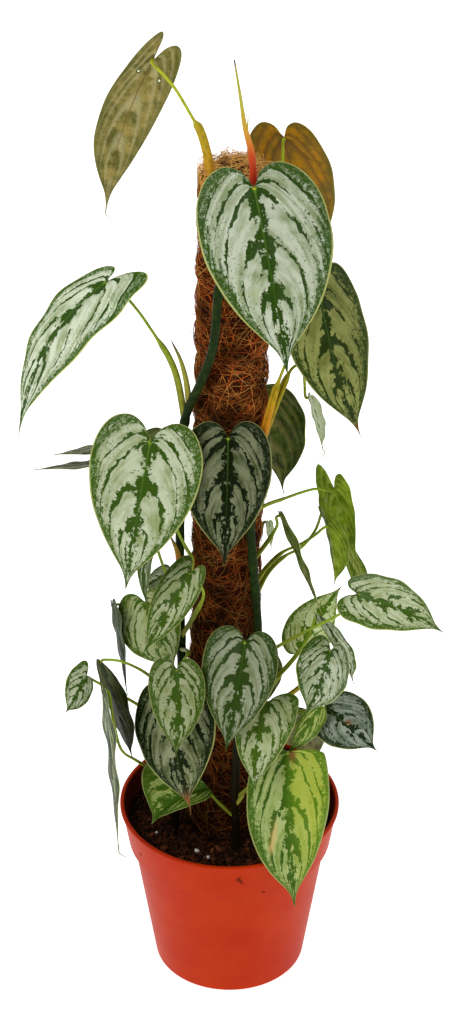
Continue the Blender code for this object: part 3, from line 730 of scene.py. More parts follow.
@dataclass
class Leaf:
    """A blade, placed by where its petiole joins, its tip and the widest point of each half.

    Left and right are as seen on the upper face with the tip pointing down. The bow lifts the
    middle of the midrib, the cup lowers the edges, the sway bends the midrib to the right, and
    the lobes scale how far each lobe rises behind the joint.
    """

    name: str
    join: tuple
    tip: tuple
    left: tuple
    right: tuple
    bow: float = 0.0
    cup: float = 0.0
    sway: float = 0.0
    lobes: tuple = (1.0, 1.0)
    look: str = "silver"

    def __post_init__(self):
        self.start = Vector(self.join)
        self.run = Vector(self.tip) - self.start
        self.normal = (Vector(self.right) - Vector(self.left)).cross(-self.run).normalized()
        self.across = (-self.run).cross(self.normal).normalized()
        widest = self.midrib(BLADE_WIDEST)
        self.edges = (Vector(self.left) - widest, Vector(self.right) - widest)

    def midrib(self, share):
        arch = 4 * share * (1 - share)
        bend = self.normal * self.bow + self.across * self.sway
        return self.start + self.run * share + bend * arch

    def point(self, side, along):
        """The place of a share across (-1 to 1) and a share along the blade."""
        if along < 0:
            along *= LOBE_EASE * (self.lobes[0] if side < 0 else self.lobes[1])
        edge = self.edges[1] if side > 0 else self.edges[0]
        broad = min(1.0, edge.length / WAVING_WIDTH)
        wave = EDGE_WAVE * broad * self.run.length
        wave *= math.sin(2 * math.pi * EDGE_WAVES * along + 2 * side)
        lift = self.normal * (wave - self.cup) * side * side
        return self.midrib(along) + edge * abs(side) + lift

    def landing(self):
        """The end of the petiole under the blade, and a point that it comes from."""
        across = self.point(0.1, 0) - self.point(-0.1, 0)
        normal = across.cross(self.point(0, 0) - self.point(0, 0.05)).normalized()
        return self.start - normal * STALK_LANDING, self.start - normal * 0.2


# The dark look is painted shade, for blades that lie in the shade of others.
LEAVES = [
    Leaf("crown_left", (-49, -22, 756), (-83, -14, 645), (-39, -25, 734), (-81, -14, 726), bow=2,
         cup=2, sway=6, lobes=(0.9, 1.8), look="bronze"),
    Leaf("crown_back", (37, 36, 678), (63, 62, 573), (70, 33, 659), (14, 49, 645), cup=3,
         lobes=(1.0, 1.25), look="bronze"),
    Leaf("crown_front", (16, -50, 679), (38, -96, 566), (-20, -61, 650), (67, -47, 654), bow=6,
         cup=5),
    Leaf("upper_right", (63, 0, 574), (92, -16, 476), (40, -17, 553), (95, 5, 556), bow=5, cup=3,
         sway=-5, lobes=(1.3, 1.6)),
    Leaf("upper_right_back", (23, 46, 479), (40, 50, 391), (55, 29, 467), (15, 65, 449), cup=2,
         lobes=(0.6, 0.6), look="dark"),
    Leaf("upper_right_narrow", (58, 14, 491), (67, 14, 448), (57, -4, 492), (68, 32, 465),
         lobes=(0.6, 0.6)),
    Leaf("upper_left", (-84, -26, 600), (-148, -20, 478), (-120, -3, 580), (-83, -53, 583),
         bow=5, cup=3, sway=-14, lobes=(0.85, 1.3)),
    Leaf("middle_left", (-55, -48, 488), (-73, -76, 385), (-97, -46, 477), (-20, -60, 467),
         bow=5, cup=4),
    Leaf("middle_front", (-1, -42, 488), (-4, -70, 401), (-34, -48, 469), (30, -42, 466), bow=4,
         cup=4, look="dark"),
    Leaf("middle_left_back", (-81, 26, 445), (-127, 16, 442), (-91, 40, 439), (-89, 8, 449),
         lobes=(0.6, 0.6), look="dark"),
    Leaf("middle_left_behind", (-84, 4, 443), (-140, 2, 438), (-97, 22, 435), (-94, -14, 449),
         lobes=(0.6, 0.6), look="dark"),
    Leaf("right_turned_high", (76, 8, 418), (93, -6, 368), (86, -7, 427), (66, 5, 403),
         lobes=(0.9, 3.0), look="lime"),
    Leaf("right_turned_low", (71, -14, 400), (76, -26, 358), (85, -28, 394), (71, -8, 387),
         sway=-3, lobes=(1.4, 2.4), look="lime"),
    Leaf("right_hanging", (70, 14, 395), (98, 0, 315), (74, 8, 381), (97, 14, 355), sway=5,
         lobes=(0.6, 0.6)),
    Leaf("right_edge_on", (37, -18, 412), (67, -30, 335), (48, -40, 403), (43, -15, 388),
         sway=-1, lobes=(0.5, 0.5), look="dark"),
    Leaf("right_small", (29, 30, 376), (31, 32, 353), (27, 20, 377), (33, 40, 366), look="lime"),
    Leaf("right_reaching", (93, -36, 356), (155, -44, 328), (93, -62, 349), (119, -8, 355),
         bow=4, cup=3, lobes=(1.0, 1.3)),
    Leaf("right_rising", (53, 2, 282), (84, 14, 332), (71, -4, 281), (42, 12, 300), bow=3, sway=2),
    Leaf("low_right_front", (73, -50, 316), (54, -88, 286), (51, -60, 318), (88, -50, 290),
         bow=3, cup=3, lobes=(1.6, 1.6)),
    Leaf("low_right_behind", (66, -20, 327), (92, -30, 273), (69, -27, 318), (88, -17, 301),
         sway=3, lobes=(0.4, 0.4)),
    Leaf("low_front", (11, -60, 330), (-3, -92, 257), (-19, -64, 320), (35, -64, 308), bow=5,
         cup=4, lobes=(0.9, 0.9)),
    Leaf("low_front_right", (27, -60, 277), (19, -92, 221), (6, -68, 270), (50, -60, 265), bow=4,
         cup=3, sway=-5, lobes=(1.0, 0.7)),
    Leaf("low_right_green", (67, -42, 262), (43, -50, 224), (56, -44, 259), (68, -44, 241),
         cup=2, lobes=(0.5, 0.5), look="lime"),
    Leaf("low_right_dark", (71, -24, 248), (109, -62, 235), (68, -44, 233), (98, -20, 255),
         bow=3, cup=2, lobes=(1.1, 1.1), look="dark"),
    Leaf("over_rim", (43, -56, 229), (49, -94, 113), (13, -66, 188), (75, -56, 198), bow=6,
         cup=4, sway=-2, lobes=(0.5, 0.2), look="lime"),
    Leaf("over_soil", (-17, -36, 181), (-59, -54, 161), (-58, -36, 206), (-28, -50, 176), cup=2,
         sway=-5, lobes=(0.6, 0.6), look="lime"),
    Leaf("low_left_dark", (-45, -50, 273), (-29, -76, 193), (-71, -47, 241), (-12, -61, 269),
         bow=5, cup=4, lobes=(1.3, 1.1), look="dark"),
    Leaf("low_left_small", (-38, -72, 315), (-39, -98, 256), (-59, -73, 301), (-18, -79, 304),
         bow=3, cup=3, sway=2, lobes=(0.9, 0.9)),
    Leaf("low_left_sideways", (-95, -32, 294), (-72, -44, 214), (-94, -20, 256), (-75, -48, 271),
         lobes=(0.6, 0.2), look="dark"),
    Leaf("left_sliver", (-86, -14, 332), (-76, -26, 260), (-86, -2, 308), (-79, -30, 328),
         sway=1, lobes=(0.5, 0.5), look="dark"),
    Leaf("far_left_small", (-107, -10, 266), (-123, -22, 241), (-120, -12, 270),
         (-105, -12, 248), bow=1, lobes=(2.2, 0.8)),
    Leaf("left_trailing", (-92, -56, 283), (-83, -76, 154), (-93, -38, 241), (-83, -82, 256),
         sway=1, lobes=(0.5, 0.5)),
    Leaf("left_heart", (-61, -26, 342), (-39, -56, 302), (-81, -24, 311), (-40, -36, 345), cup=2,
         lobes=(1.8, 1.2)),
    Leaf("left_front", (-28, -52, 384), (-62, -78, 332), (-49, -51, 379), (-25, -61, 365), bow=3,
         cup=3, lobes=(1.2, 1.2)),
    Leaf("left_narrow", (-57, -36, 401), (-59, -44, 349), (-65, -33, 388), (-54, -43, 394),
         sway=-5, lobes=(0.5, 0.5)),
    Leaf("left_tucked", (-45, -20, 365), (-65, -14, 346), (-52, -19, 368), (-44, -19, 352), cup=1),
    Leaf("back_top", (23, 74, 623), (15, 96, 502), (52, 76, 598), (-10, 76, 604), bow=5, cup=4),
    Leaf("back_upper", (2, 60, 512), (-1, 78, 433), (23, 62, 497), (-21, 62, 499), bow=4, cup=3),
    Leaf("back_middle_left", (-44, 62, 429), (-53, 86, 327), (-16, 73, 402), (-75, 59, 417),
         bow=4, cup=4),
    Leaf("back_middle", (-3, 58, 340), (-6, 84, 236), (20, 61, 320), (-26, 61, 322), bow=4,
         cup=3, look="dark"),
    Leaf("back_low_right", (16, 66, 238), (15, 100, 142), (42, 66, 223), (-11, 80, 214), bow=4,
         cup=3),
    Leaf("back_low_left", (-48, 58, 206), (-54, 98, 118), (-22, 73, 184), (-73, 60, 189), bow=4,
         cup=3, look="dark"),
    Leaf("back_lowest", (50, 66, 180), (62, 102, 92), (76, 66, 165), (30, 84, 152), bow=4, cup=3),
]
LEAF_BY_NAME = {leaf.name: leaf for leaf in LEAVES}

SOIL_SURFACE = 130.0
STEM_BURIED_TO = 96.0
STEM_RADIUS = 3.1
STEM_SIDES = 20
STALK_SIDES = 16
STEM_STEP = 3.0
STALK_STEP = 2.2
SHEATH_SHARE = 0.32
# The sheaths that show: how golden and orange they are, their radius and the share of the stalk
# that they wrap. The sheaths of all other stalks are green and slim.
SHEATHS = {
    "crown_left": (0.85, 3.1, 0.5),
    "crown_front": (1.0, 2.5, 0.32),
    "upper_right": (0.9, 2.7, 0.36),
    "upper_right_narrow": (0.55, 2.5, 0.36),
    "upper_left": (0.12, 2.5, 0.34),
    "low_right_front": (0.6, 2.2, 0.32),
    "crown_back": (0.4, 1.8, 0.32),
}
PLAIN_SHEATH = (0.12, 1.7, 0.32)
STALK_RADIUS = 1.08
OUTGROWTH_SIDES = 12
# The kinds of growth, as the finish reads them.
STEM, STALK, SCALE, ROOT = 0.0, 0.34, 0.67, 1.0

# Each stem's course from the soil upwards.
STEMS = {
    "left": [(-42, -12, 150), (-37, -9, 210), (-36, -9, 276), (-36, -9, 368), (-35, -9, 443),
             (-31, -15, 489), (-19, -28, 527), (-11, -33, 556), (-8, -34, 591), (-4, -35, 619),
             (4, -34, 645), (12, -32, 660), (15.8, -31.2, 672.0)],
    "right": [(24, -15, 150), (23, -17, 193), (21, -22, 306), (20, -24, 333), (15, -31, 407),
              (15, -31, 449), (21, -26, 473)],
    "front": [(5, -38, 145), (4, -37, 171), (6, -38, 228), (9, -38, 274)],
    "back": [(12, 33, 160), (10, 33, 300), (9, 34, 450), (12, 33, 560), (15, 30, 640)],
}

# Petioles: the leaf, the height they leave the stem at, and the points they pass.
PETIOLES = {
    "left": [
        ("crown_left", 631, [(-6, -30, 658), (-13, -29, 683), (-15, -28, 695), (-19, -27, 709),
                             (-24, -29, 719), (-34, -33, 739), (-42, -31, 749)]),
        ("crown_front", 597, [(2, -44, 639), (11, -46, 664)]),
        ("upper_left", 487, [(-36, -16, 519), (-42, -18, 539), (-53, -22, 561), (-62, -24, 577),
                             (-72, -22, 589)]),
        ("middle_left", 342, [(-27, -24, 375), (-32, -29, 393), (-38, -34, 412), (-46, -38, 453)]),
        ("middle_left_back", 402, [(-50, 8, 426), (-68, 22, 441)]),
        ("middle_left_behind", 389, [(-50, -4, 416), (-70, 2, 436)]),
        ("low_left_dark", 201, [(-40, -26, 240)]),
        ("low_left_small", 290, [(-30, -40, 309), (-33, -62, 316)]),
        ("low_left_sideways", 239, [(-59, -24, 276), (-77, -38, 298)]),
        ("left_sliver", 298, [(-59, 2, 309), (-77, -4, 324)]),
        ("far_left_small", 211, [(-68, -4, 235), (-92, -2, 250)]),
        ("left_trailing", 163, [(-61, -16, 185), (-71, -32, 205), (-81, -46, 226),
                                (-86, -54, 262)]),
        ("left_heart", 292, [(-47, -14, 320)]),
        ("left_front", 301, [(-27, -28, 330), (-19, -40, 356), (-21, -46, 370)]),
        ("left_narrow", 333, [(-46, -30, 371)]),
        ("left_tucked", 329, [(-38, -14, 349)]),
    ],
    "right": [
        ("upper_right", 470, [(28, -22, 500), (34, -14, 518), (50, 2, 553)]),
        ("upper_right_narrow", 462, [(26, -18, 483), (35, -12, 507), (43, -4, 522), (51, 6, 520),
                                     (53, 13, 503)]),
        ("middle_front", 416, [(7, -38, 454), (2, -40, 476)]),
        ("right_turned_high", 420, [(26, -26, 425), (38, -11, 421), (50, -6, 423), (62, 0, 423)]),
        ("right_turned_low", 358, [(26, -20, 368), (38, -8, 374), (51, -8, 381), (61, -12, 391)]),
        ("right_hanging", 348, [(28, -14, 361), (40, -2, 367), (53, 8, 369), (63, 17, 378)]),
        ("right_edge_on", 380, [(28, -20, 392), (34, -18, 403)]),
        ("right_reaching", 290, [(37, -26, 305), (59, -33, 324), (80, -40, 342)]),
        ("right_rising", 250, [(35, 0, 256), (45, 9, 265)]),
        ("low_right_front", 245, [(45, -34, 267), (65, -44, 297)]),
        ("low_right_behind", 256, [(45, -22, 287), (58, -22, 310)]),
        ("low_right_green", 210, [(45, -26, 230), (58, -36, 250)]),
        ("low_right_dark", 217, [(46, -14, 233), (60, -18, 241)]),
    ],
    "front": [
        ("low_front", 264, [(13, -52, 303)]),
        ("low_front_right", 217, [(19, -52, 253)]),
        ("over_rim", 171, [(24, -46, 200), (36, -50, 218)]),
        ("over_soil", 154, [(-6, -36, 165), (-13, -32, 171)]),
    ],
    "back": [
        ("crown_back", 600, [(27, 30, 632), (35, 30, 655)]),
        ("upper_right_back", 430, [(14, 40, 455), (19, 42, 470)]),
        ("right_small", 350, [(22, 34, 362)]),
        ("back_top", 560, [(16, 50, 590), (21, 66, 612)]),
        ("back_upper", 460, [(6, 46, 488)]),
        ("back_middle_left", 380, [(-6, 42, 400), (-30, 54, 420)]),
        ("back_middle", 300, [(4, 46, 322)]),
        ("back_low_right", 190, [(14, 50, 216)]),
        ("back_low_left", 166, [(-4, 44, 180), (-30, 52, 196)]),
        ("back_lowest", 158, [(26, 46, 166), (40, 58, 174)]),
    ],
}

# Pointed scales and short roots on a stem: stem, height, points, base radius.
OUTGROWTHS = [
    ("left", 500, [(-30, -19, 520), (-34, -18, 537), (-40, -17, 551)], 2.2),
    ("left", 360, [(-38, -13, 378), (-43, -16, 394)], 2.4),
    ("left", 497, [(-27, -16, 493)], 1.3),
    ("right", 470, [(26, -18, 478)], 1.2),
    ("front", 166, [(9, -44, 178), (12, -48, 186)], 1.4),
]


def curve_through(points, share):
    """A point at a share of the smooth curve through the points."""
    padded = [2 * points[0] - points[1], *points, 2 * points[-1] - points[-2]]
    place = share * (len(points) - 1)
    span = min(int(place), len(points) - 2)
    f = place - span
    a, b, c, d = padded[span : span + 4]
    bend = (2 * a - 5 * b + 4 * c - d) * f * f + (3 * b - a - 3 * c + d) * f ** 3
    return (2 * b + (c - a) * f + bend) / 2


def fine_course(points, step):
    """The smooth curve through the points, in short steps."""
    points = [Vector(point) for point in points]
    length = sum((b - a).length for a, b in zip(points, points[1:]))
    count = max(6, round(length / step))
    return [curve_through(points, i / count) for i in range(count + 1)]


def height_share(course, height):
    """The share of a rising course at which it passes a height."""
    low, high = 0.0, 1.0
    for _ in range(30):
        middle = (low + high) / 2
        if curve_through(course, middle).z < height:
            low = middle
        else:
            high = middle
    return low


class Growth:
    """Tubes that grow together into one mesh, each point keeping (share along, kind, warmth)."""

    def __init__(self):
        self.points = []
        self.faces = []
        self.fields = []

    def tube(self, course, radius_at, sides, kind, warmth, shape_at=None, wrap=SHEATH_SHARE):
        """A closed tube; shape_at gives how a share along and a turn change the radius.

        The shares are stretched so that a sheath over the first part (wrap) ends at SHEATH_SHARE.
        """
        base = len(self.points)
        last = len(course) - 1
        forward = (course[1] - course[0]).normalized()
        across = forward.orthogonal().normalized()
        for i, centre in enumerate(course):
            forward = (course[min(i + 1, last)] - course[max(i - 1, 0)]).normalized()
            across = (across - forward * across.dot(forward)).normalized()
            beside = forward.cross(across)
            share = i / last
            if share < wrap:
                share *= SHEATH_SHARE / wrap
            else:
                share = 1 - (1 - share) * (1 - SHEATH_SHARE) / (1 - wrap)
            for turn in turns(sides):
                radius = radius_at(share) * (shape_at(share, turn) if shape_at else 1.0)
                step = across * math.cos(turn) + beside * math.sin(turn)
                self.points.append(centre + step * radius)
                self.fields.append((share, kind, warmth))
            if i > 0:
                self.faces += band(len(self.points) - 2 * sides, len(self.points) - sides, sides)
        self.faces.append(tuple(range(base + sides - 1, base - 1, -1)))
        self.faces.append(tuple(range(len(self.points) - sides, len(self.points))))

    def made(self, name, finish):
        """The growth as one object."""
        return shape(name, self.points, self.faces, [finish], {"growth": self.fields})


def stalk_radius(share, sheath_radius):
    """A broad sheath, a short shoulder, a slim stalk and a small swelling under the blade."""
    if share < SHEATH_SHARE:
        return sheath_radius - 0.5 * share
    shoulder = min(1.0, (share - SHEATH_SHARE) / 0.05)
    slim = sheath_radius - 0.16 + (STALK_RADIUS - sheath_radius + 0.16) * shoulder
    swell = 0.3 * math.exp(-((share - 0.955) / 0.03) ** 2)
    return slim - 0.15 * max(0.0, share - 0.5) + swell


def sheath_shape(share, turn):
    """The sheath is flattened and grooved along one side; the stalk beyond is nearly round."""
    sheath = min(1.0, max(0.0, (SHEATH_SHARE + 0.04 - share) / 0.05))
    groove = math.exp(-((turn - math.pi) / 0.55) ** 2)
    flat = 0.16 * math.cos(2 * turn)
    return 1 + sheath * (-0.42 * groove - flat) - (1 - sheath) * 0.12 * groove


green = Finish("vine_and_stalks", 0.45, Specular_IOR_Level=0.05)
share, kind, warmth = green.parts(green.attribute("growth"))
where = green.place()
mottle = green.speckle(where, 240.0, 4.0, 0.6)
grit = green.speckle(where, 1400.0, 2.0)
_, _, above_floor = green.parts(where)
stem_tone = green.mixed(paint(20, 38, 9), paint(38, 56, 14), mottle.above(0.52, 0.25))
# Painted shade: the stems are painted dark brown low down, near the soil.
painted_foot_shade = (1 - above_floor.above(0.24, 0.12)) * 0.9
stem_tone = green.mixed(stem_tone, paint(26, 13, 5), painted_foot_shade)
foot = green.mixed(paint(142, 162, 56), paint(222, 112, 24), warmth)
sheath = green.mixed(paint(132, 154, 44), paint(190, 152, 30), warmth)
ripening = (warmth * 0.8 + share * 0.2).clamped()
slim = green.mixed(paint(138, 172, 50), paint(188, 192, 46), ripening)
stalk_tone = green.mixed(foot, sheath, share.above(0.14, 0.2))
stalk_tone = green.mixed(stalk_tone, slim, share.above(0.37, 0.14))
stalk_tone = green.mixed(stalk_tone, paint(84, 92, 26), mottle.above(0.56, 0.24) * 0.45)
scale_tone = green.mixed(paint(150, 160, 62), paint(70, 42, 24), share.above(0.82, 0.3))
scale_tone = green.mixed(scale_tone, paint(206, 92, 40), warmth * (1 - share))
root_tone = green.mixed(paint(70, 56, 36), paint(110, 84, 50), mottle)
tone = green.mixed(stem_tone, stalk_tone, kind.above(0.17, 0.02))
tone = green.mixed(tone, scale_tone, kind.above(0.5, 0.02))
tone = green.mixed(tone, root_tone, kind.above(0.84, 0.02))
green.paints(
    colour=tone,
    roughness=0.36 + mottle * 0.2,
    height=mottle + grit * 0.3,
    relief=0.0005,
    strength=0.4,
)

for stem_name, climb in STEMS.items():
    x, y, _ = climb[0]
    course = [Vector(p) for p in [(x, y, STEM_BURIED_TO), (x, y, SOIL_SURFACE), *climb]]
    leaf_starts = [height for _, height, _ in PETIOLES[stem_name]]
    vine = Growth()

    def stem_radius(share):
        z = curve_through(course, share).z
        swell = sum(0.55 * math.exp(-((z - height + 1) / 3.4) ** 2) for height in leaf_starts)
        ringed = sum(0.3 * math.exp(-((z - height - 5) / 0.9) ** 2) for height in leaf_starts)
        tip = min(1.0, (1 - share) * 14 + 0.55)
        return (STEM_RADIUS + min(0.7, swell) - ringed) * tip

    vine.tube(fine_course(course, STEM_STEP), stem_radius, STEM_SIDES, STEM, 0.0)
    for leaf_name, height, passed in PETIOLES[stem_name]:
        start = curve_through(course, height_share(course, height))
        before, end = LEAF_BY_NAME[leaf_name].landing()
        stalk = fine_course([start, *passed, before, end], STALK_STEP)
        warmth, sheath_radius, wrap = SHEATHS.get(leaf_name, PLAIN_SHEATH)
        vine.tube(stalk, lambda s: stalk_radius(s, sheath_radius), STALK_SIDES, STALK, warmth,
                  sheath_shape, wrap)
    for grown_on, height, passed, radius in OUTGROWTHS:
        if grown_on == stem_name:
            start = curve_through(course, height_share(course, height))
            kind = ROOT if len(passed) == 1 else SCALE
            warm = 1.0 if radius > 2.3 else 0.2
            growth = fine_course([start, *passed], STALK_STEP)
            vine.tube(growth, lambda s: radius * (1 - 0.85 * s * s), OUTGROWTH_SIDES, kind, warm,
                      sheath_shape)
    stands_for(vine.made(f"stem_{stem_name}", green), f"vine_{stem_name}")


# The newest leaf, still rolled into a spear: orange-red at its foot, yellow-green above, with the
# free edge of the roll winding up it and a dry dark point.
NEW_SHOOT = [(16, -31, 673), (14, -26, 694), (10, -22, 710), (7, -18, 729), (3, -14, 753)]
NEW_SHOOT_RADII = (2.7, 2.3, 1.7, 1.1, 0.5)
ROLL_SIDES = 28
ROLL_STEP = 1.6
FLAP_RADIUS = 0.75
FLAP_SIDES = 8
FLAP_STEP = 1.2

rolled = Finish("rolled_leaf", 0.4, Specular_IOR_Level=0.2)
share, _, _ = rolled.parts(rolled.attribute("growth"))
mottle = rolled.speckle(rolled.place(), 420.0, 3.0)
ramp = {
    "stops": [
        (0.0, paint(206, 44, 28)),
        (0.22, paint(222, 84, 36)),
        (0.42, paint(216, 154, 52)),
        (0.7, paint(186, 182, 66)),
        (0.94, paint(170, 168, 60)),
        (0.985, paint(72, 62, 30)),
    ]
}
tone = rolled.node("ValToRGB", ramp, [(share + (mottle - 0.5) * 0.12).clamped()])
rolled.paints(colour=tone, height=mottle, relief=0.0003, strength=0.4)
spear = Growth()
course = fine_course(NEW_SHOOT, ROLL_STEP)


def roll_radius(share):
    return curve_through(NEW_SHOOT_RADII, share)


def roll_shape(share, turn):
    """Each turn of the roll overlaps the last in a small step."""
    wound = (turn / (2 * math.pi) + 0.35 * share) % 1.0
    return 0.9 + 0.16 * wound


spear.tube(course, roll_radius, ROLL_SIDES, STALK, 1.0, roll_shape)
halfway = len(course) // 2
flap = [
    course[halfway - 4],
    course[halfway] + Vector((1.6, -0.4, 0)),
    course[halfway + 4] + Vector((2.9, -0.6, 0)),
    course[halfway + 6] + Vector((3.1, -0.6, 2)),
]
before_flap = len(spear.fields)
spear.tube(fine_course(flap, FLAP_STEP), lambda s: FLAP_RADIUS * (1 - 0.8 * s), FLAP_SIDES, STALK,
           1.0)
spear.fields[before_flap:] = [
    (0.55 + 0.3 * share, kind, warm) for share, kind, warm in spear.fields[before_flap:]
]
stands_for(spear.made("rolled_leaf", rolled), "new_leaf_shoot")


# The leaves: silver between jagged dark green veins, speckled along the margin and edged with a
# thin pale line. The underside is olive to bronze with raised pale veins. Each blade is one thin
# sheet of tissue whose veins are sunk into its upper face.
SPANS = 6
SMALL_SPANS = 4
BANDS = 14
SMALL_BLADE = 60.0
VEIN_SLANT = 0.35
VEIN_ARC = 0.2
VEIN_SPACING = 0.27
VEIN_DEPTH = 0.5
MIDRIB_DEPTH = 0.7
TAIL_SIDES = 6
TAIL_STEP = 0.9
TAIL_START = 0.965
EDGE_STEPS = 120
# Blades not in TONES: a little painted shade, barely turned yellow-green and no more dark.
PLAIN_TONE = (0.9, 0.05, 0.0)
# How far the yellow-green half of a blade has turned, and how much of a blade's bronze its upper
# face shows.
LIME_RIPENESS = 0.8
BRONZE_ABOVE = 0.1
UPPER_ROUGHNESS = 0.42
LOWER_ROUGHNESS = 0.5

# How each blade differs from the rest of its kind: its light, a painted light and shade that
# scales the blade's colour brighter or darker, how far it has turned yellow-green (on the
# underside: bronze), and how much more of it is dark.
TONES = {
    "crown_left": (1.02, 0.1, 0.0),
    "crown_back": (1.12, 0.95, 0.0),
    "crown_front": (1.08, 0.0, 0.0),
    "upper_right": (0.73, 0.05, 0.012),
    "upper_right_back": (1.45, 0.1, 0.02),
    "upper_right_narrow": (0.8, 0.3, -0.03),
    "upper_left": (1.45, 0.0, 0.0),
    "middle_left": (1.04, 0.1, 0.005),
    "middle_front": (0.7, 0.0, 0.025),
    "right_turned_high": (1.4, 0.0, 0.0),
    "right_turned_low": (1.02, 0.0, 0.0),
    "right_hanging": (0.52, 0.85, 0.03),
    "right_edge_on": (1.3, 0.0, 0.0),
    "right_reaching": (1.2, 0.16, 0.01),
    "right_rising": (1.8, 0.3, 0.0),
    "low_right_front": (1.02, 0.06, 0.01),
    "low_right_behind": (1.4, 0.0, 0.02),
    "low_front": (0.6, 0.12, 0.035),
    "low_front_right": (0.88, 0.28, 0.015),
    "low_right_green": (0.8, 0.4, 0.07),
    "low_right_dark": (1.12, 0.0, 0.01),
    "over_rim": (0.86, 0.12, 0.01),
    "over_soil": (0.82, 0.3, 0.08),
    "low_left_dark": (1.02, 0.0, 0.02),
    "low_left_small": (0.68, 0.28, 0.035),
    "low_left_sideways": (0.3, 0.2, 0.05),
    "left_sliver": (0.36, 0.3, 0.3),
    "far_left_small": (1.28, 0.08, 0.02),
    "left_trailing": (1.15, 0.05, 0.12),
    "left_heart": (0.78, 0.34, 0.0),
    "left_front": (0.82, 0.26, 0.035),
    "left_narrow": (0.7, 0.16, 0.1),
    "left_tucked": (0.6, 0.14, 0.02),
}
# The half of a blade that has turned yellow-green: -1 is the left half, 1 the right.
LIME_HALVES = {"over_rim": 1}
# Marks on a blade: place across and along, reach, and how brown, peach or pale they are.
MARKS = {
    "over_rim": [(0.1, 0.0, 0.04, (0.9, 0, 0)), (-0.44, 0.53, 0.03, (0, 0.8, 0)),
                 (-0.38, 0.47, 0.032, (0, 0.8, 0)), (-0.32, 0.41, 0.028, (0, 0.6, 0))],
    "low_right_dark": [(0.1, 0.42, 0.035, (0.9, 0, 0))],
    "upper_right": [(0, 0.98, 0.06, (0.8, 0, 0))],
    "low_left_dark": [(0, 0.98, 0.1, (0.85, 0.1, 0))],
    "right_turned_high": [(0.6, 0.1, 0.03, (0.1, 0, 0.6))],
    "crown_front": [(-0.3, 0.55, 0.03, (0, 0, 0.3))],
}
# The dry threads that some drip tips end in: points that follow the tip, radius, how dry.
TAILS = {
    "crown_left": ([(-80, -15, 642), (-76, -15, 640.6)], 0.5, (0.2, 0, 0.4)),
    "upper_right": ([(93.6, -16.5, 475.6)], 0.5, (0.8, 0.1, 0)),
    "upper_right_narrow": ([(68.6, 13.5, 445.5), (66.8, 13, 442), (64, 13, 439),
                            (61.5, 13, 438)], 0.5, (0.2, 0, 0.4)),
    "upper_right_back": ([(39.5, 51, 386), (38.4, 51, 381)], 0.45, (0.8, 0, 0)),
    "left_trailing": ([(-82.4, -77, 152), (-79.4, -78, 150), (-76.8, -78, 149.2),
                       (-73.5, -78, 149.8)], 0.6, (0.35, 0, 0)),
    "low_left_dark": ([(-28.7, -76.5, 187.5)], 0.55, (0.85, 0.1, 0)),
}


def smooth_half(count):
    """The half outline as a smooth curve of this many steps."""
    corners = [Vector((*place, 0)) for place in HALF_OUTLINE]
    return [curve_through(corners, i / count) for i in range(count + 1)]


edge_course = smooth_half(EDGE_STEPS)
lobe_end = min(range(len(edge_course)), key=lambda i: edge_course[i].y)
outer_edge = [(p.y, p.x) for p in edge_course[lobe_end:]]


def half_width(along):
    """The blade's half width there, as a share of its widest."""
    if along <= outer_edge[0][0]:
        return outer_edge[0][1]
    for (low, first), (high, second) in zip(outer_edge, outer_edge[1:]):
        if low <= along <= high:
            return first + (second - first) * (along - low) / max(1e-9, high - low)
    return 0.01


def vein_at(side, along):
    """Which curved side vein a place is on: whole steps of VEIN_SPACING are on a vein.

    Places between the joint's own vein and the tip lie on veins from the midrib, and count up;
    the others lie on the veins that fan from the joint into the lobes, and count down.
    """
    reach = min(1.05, abs(side) / max(0.02, half_width(along)))
    lift = along - 0.75 * reach * reach
    return lift if lift >= 0 else lift / (1.2 * reach * (1 - 0.25 * reach) + 0.03)


def blade_plan(spans):
    """The blade's (side, along, margin share) places, and its faces over them."""
    outline = smooth_half(spans * (len(HALF_OUTLINE) - 1))
    places = []
    number = {}
    faces = []

    def index(side, along, rim):
        key = (round(side, 5), round(along, 5))
        if key not in number:
            number[key] = len(places)
            places.append((side, along, rim))
        return number[key]

    for half in (-1, 1):
        ribs = []
        for edge in outline:
            foot = min(1.0, max(0.0, edge.y - VEIN_SLANT * edge.x))
            rib = []
            for j in range(BANDS + 1):
                rim = j / BANDS
                arc = VEIN_ARC * rim * (1 - rim) * edge.x * min(1.0, max(0.0, edge.y / 0.3))
                out = edge.x * rim + arc * 0.35
                along = foot + (edge.y - foot) * rim - arc * 0.5
                rib.append(index(half * out, along, rim))
            ribs.append(rib)
        for near, far in zip(ribs, ribs[1:]):
            for j in range(BANDS):
                corners = [near[j], near[j + 1], far[j + 1], far[j]]
                if half > 0:
                    corners.reverse()
                loop = [c for n, c in enumerate(corners) if c != corners[n - 1]]
                if len(set(loop)) >= 3:
                    faces.append(tuple(dict.fromkeys(loop)))
    return places, faces


def rim_edges(faces):
    """The directed edges that only one face has."""
    edges = {(face[i - 1], face[i]) for face in faces for i in range(len(face))}
    return sorted(edge for edge in edges if (edge[1], edge[0]) not in edges)


def marks_at(leaf, side, along):
    """How brown, peach and pale the blade's marks are at a place."""
    levels = [0.0, 0.0, 0.0]
    for across, at, reach, strengths in MARKS.get(leaf.name, ()):
        near = math.exp(-(((side - across) * 0.55) ** 2 + (along - at) ** 2) / (reach * reach))
        near = min(1.0, 1.6 * near)
        levels = [max(level, near * strength) for level, strength in zip(levels, strengths)]
    return tuple(levels)


def ripeness(leaf, warm, side, along, rim):
    """How far a blade has turned yellow-green at a place."""
    if leaf.name not in LIME_HALVES:
        return warm
    over = min(1.0, max(0.0, 0.5 + side * LIME_HALVES[leaf.name] / 0.3))
    over *= min(1.0, max(0.12, 1.25 - 1.5 * along + 0.5 * rim))
    return warm + (LIME_RIPENESS - warm) * over


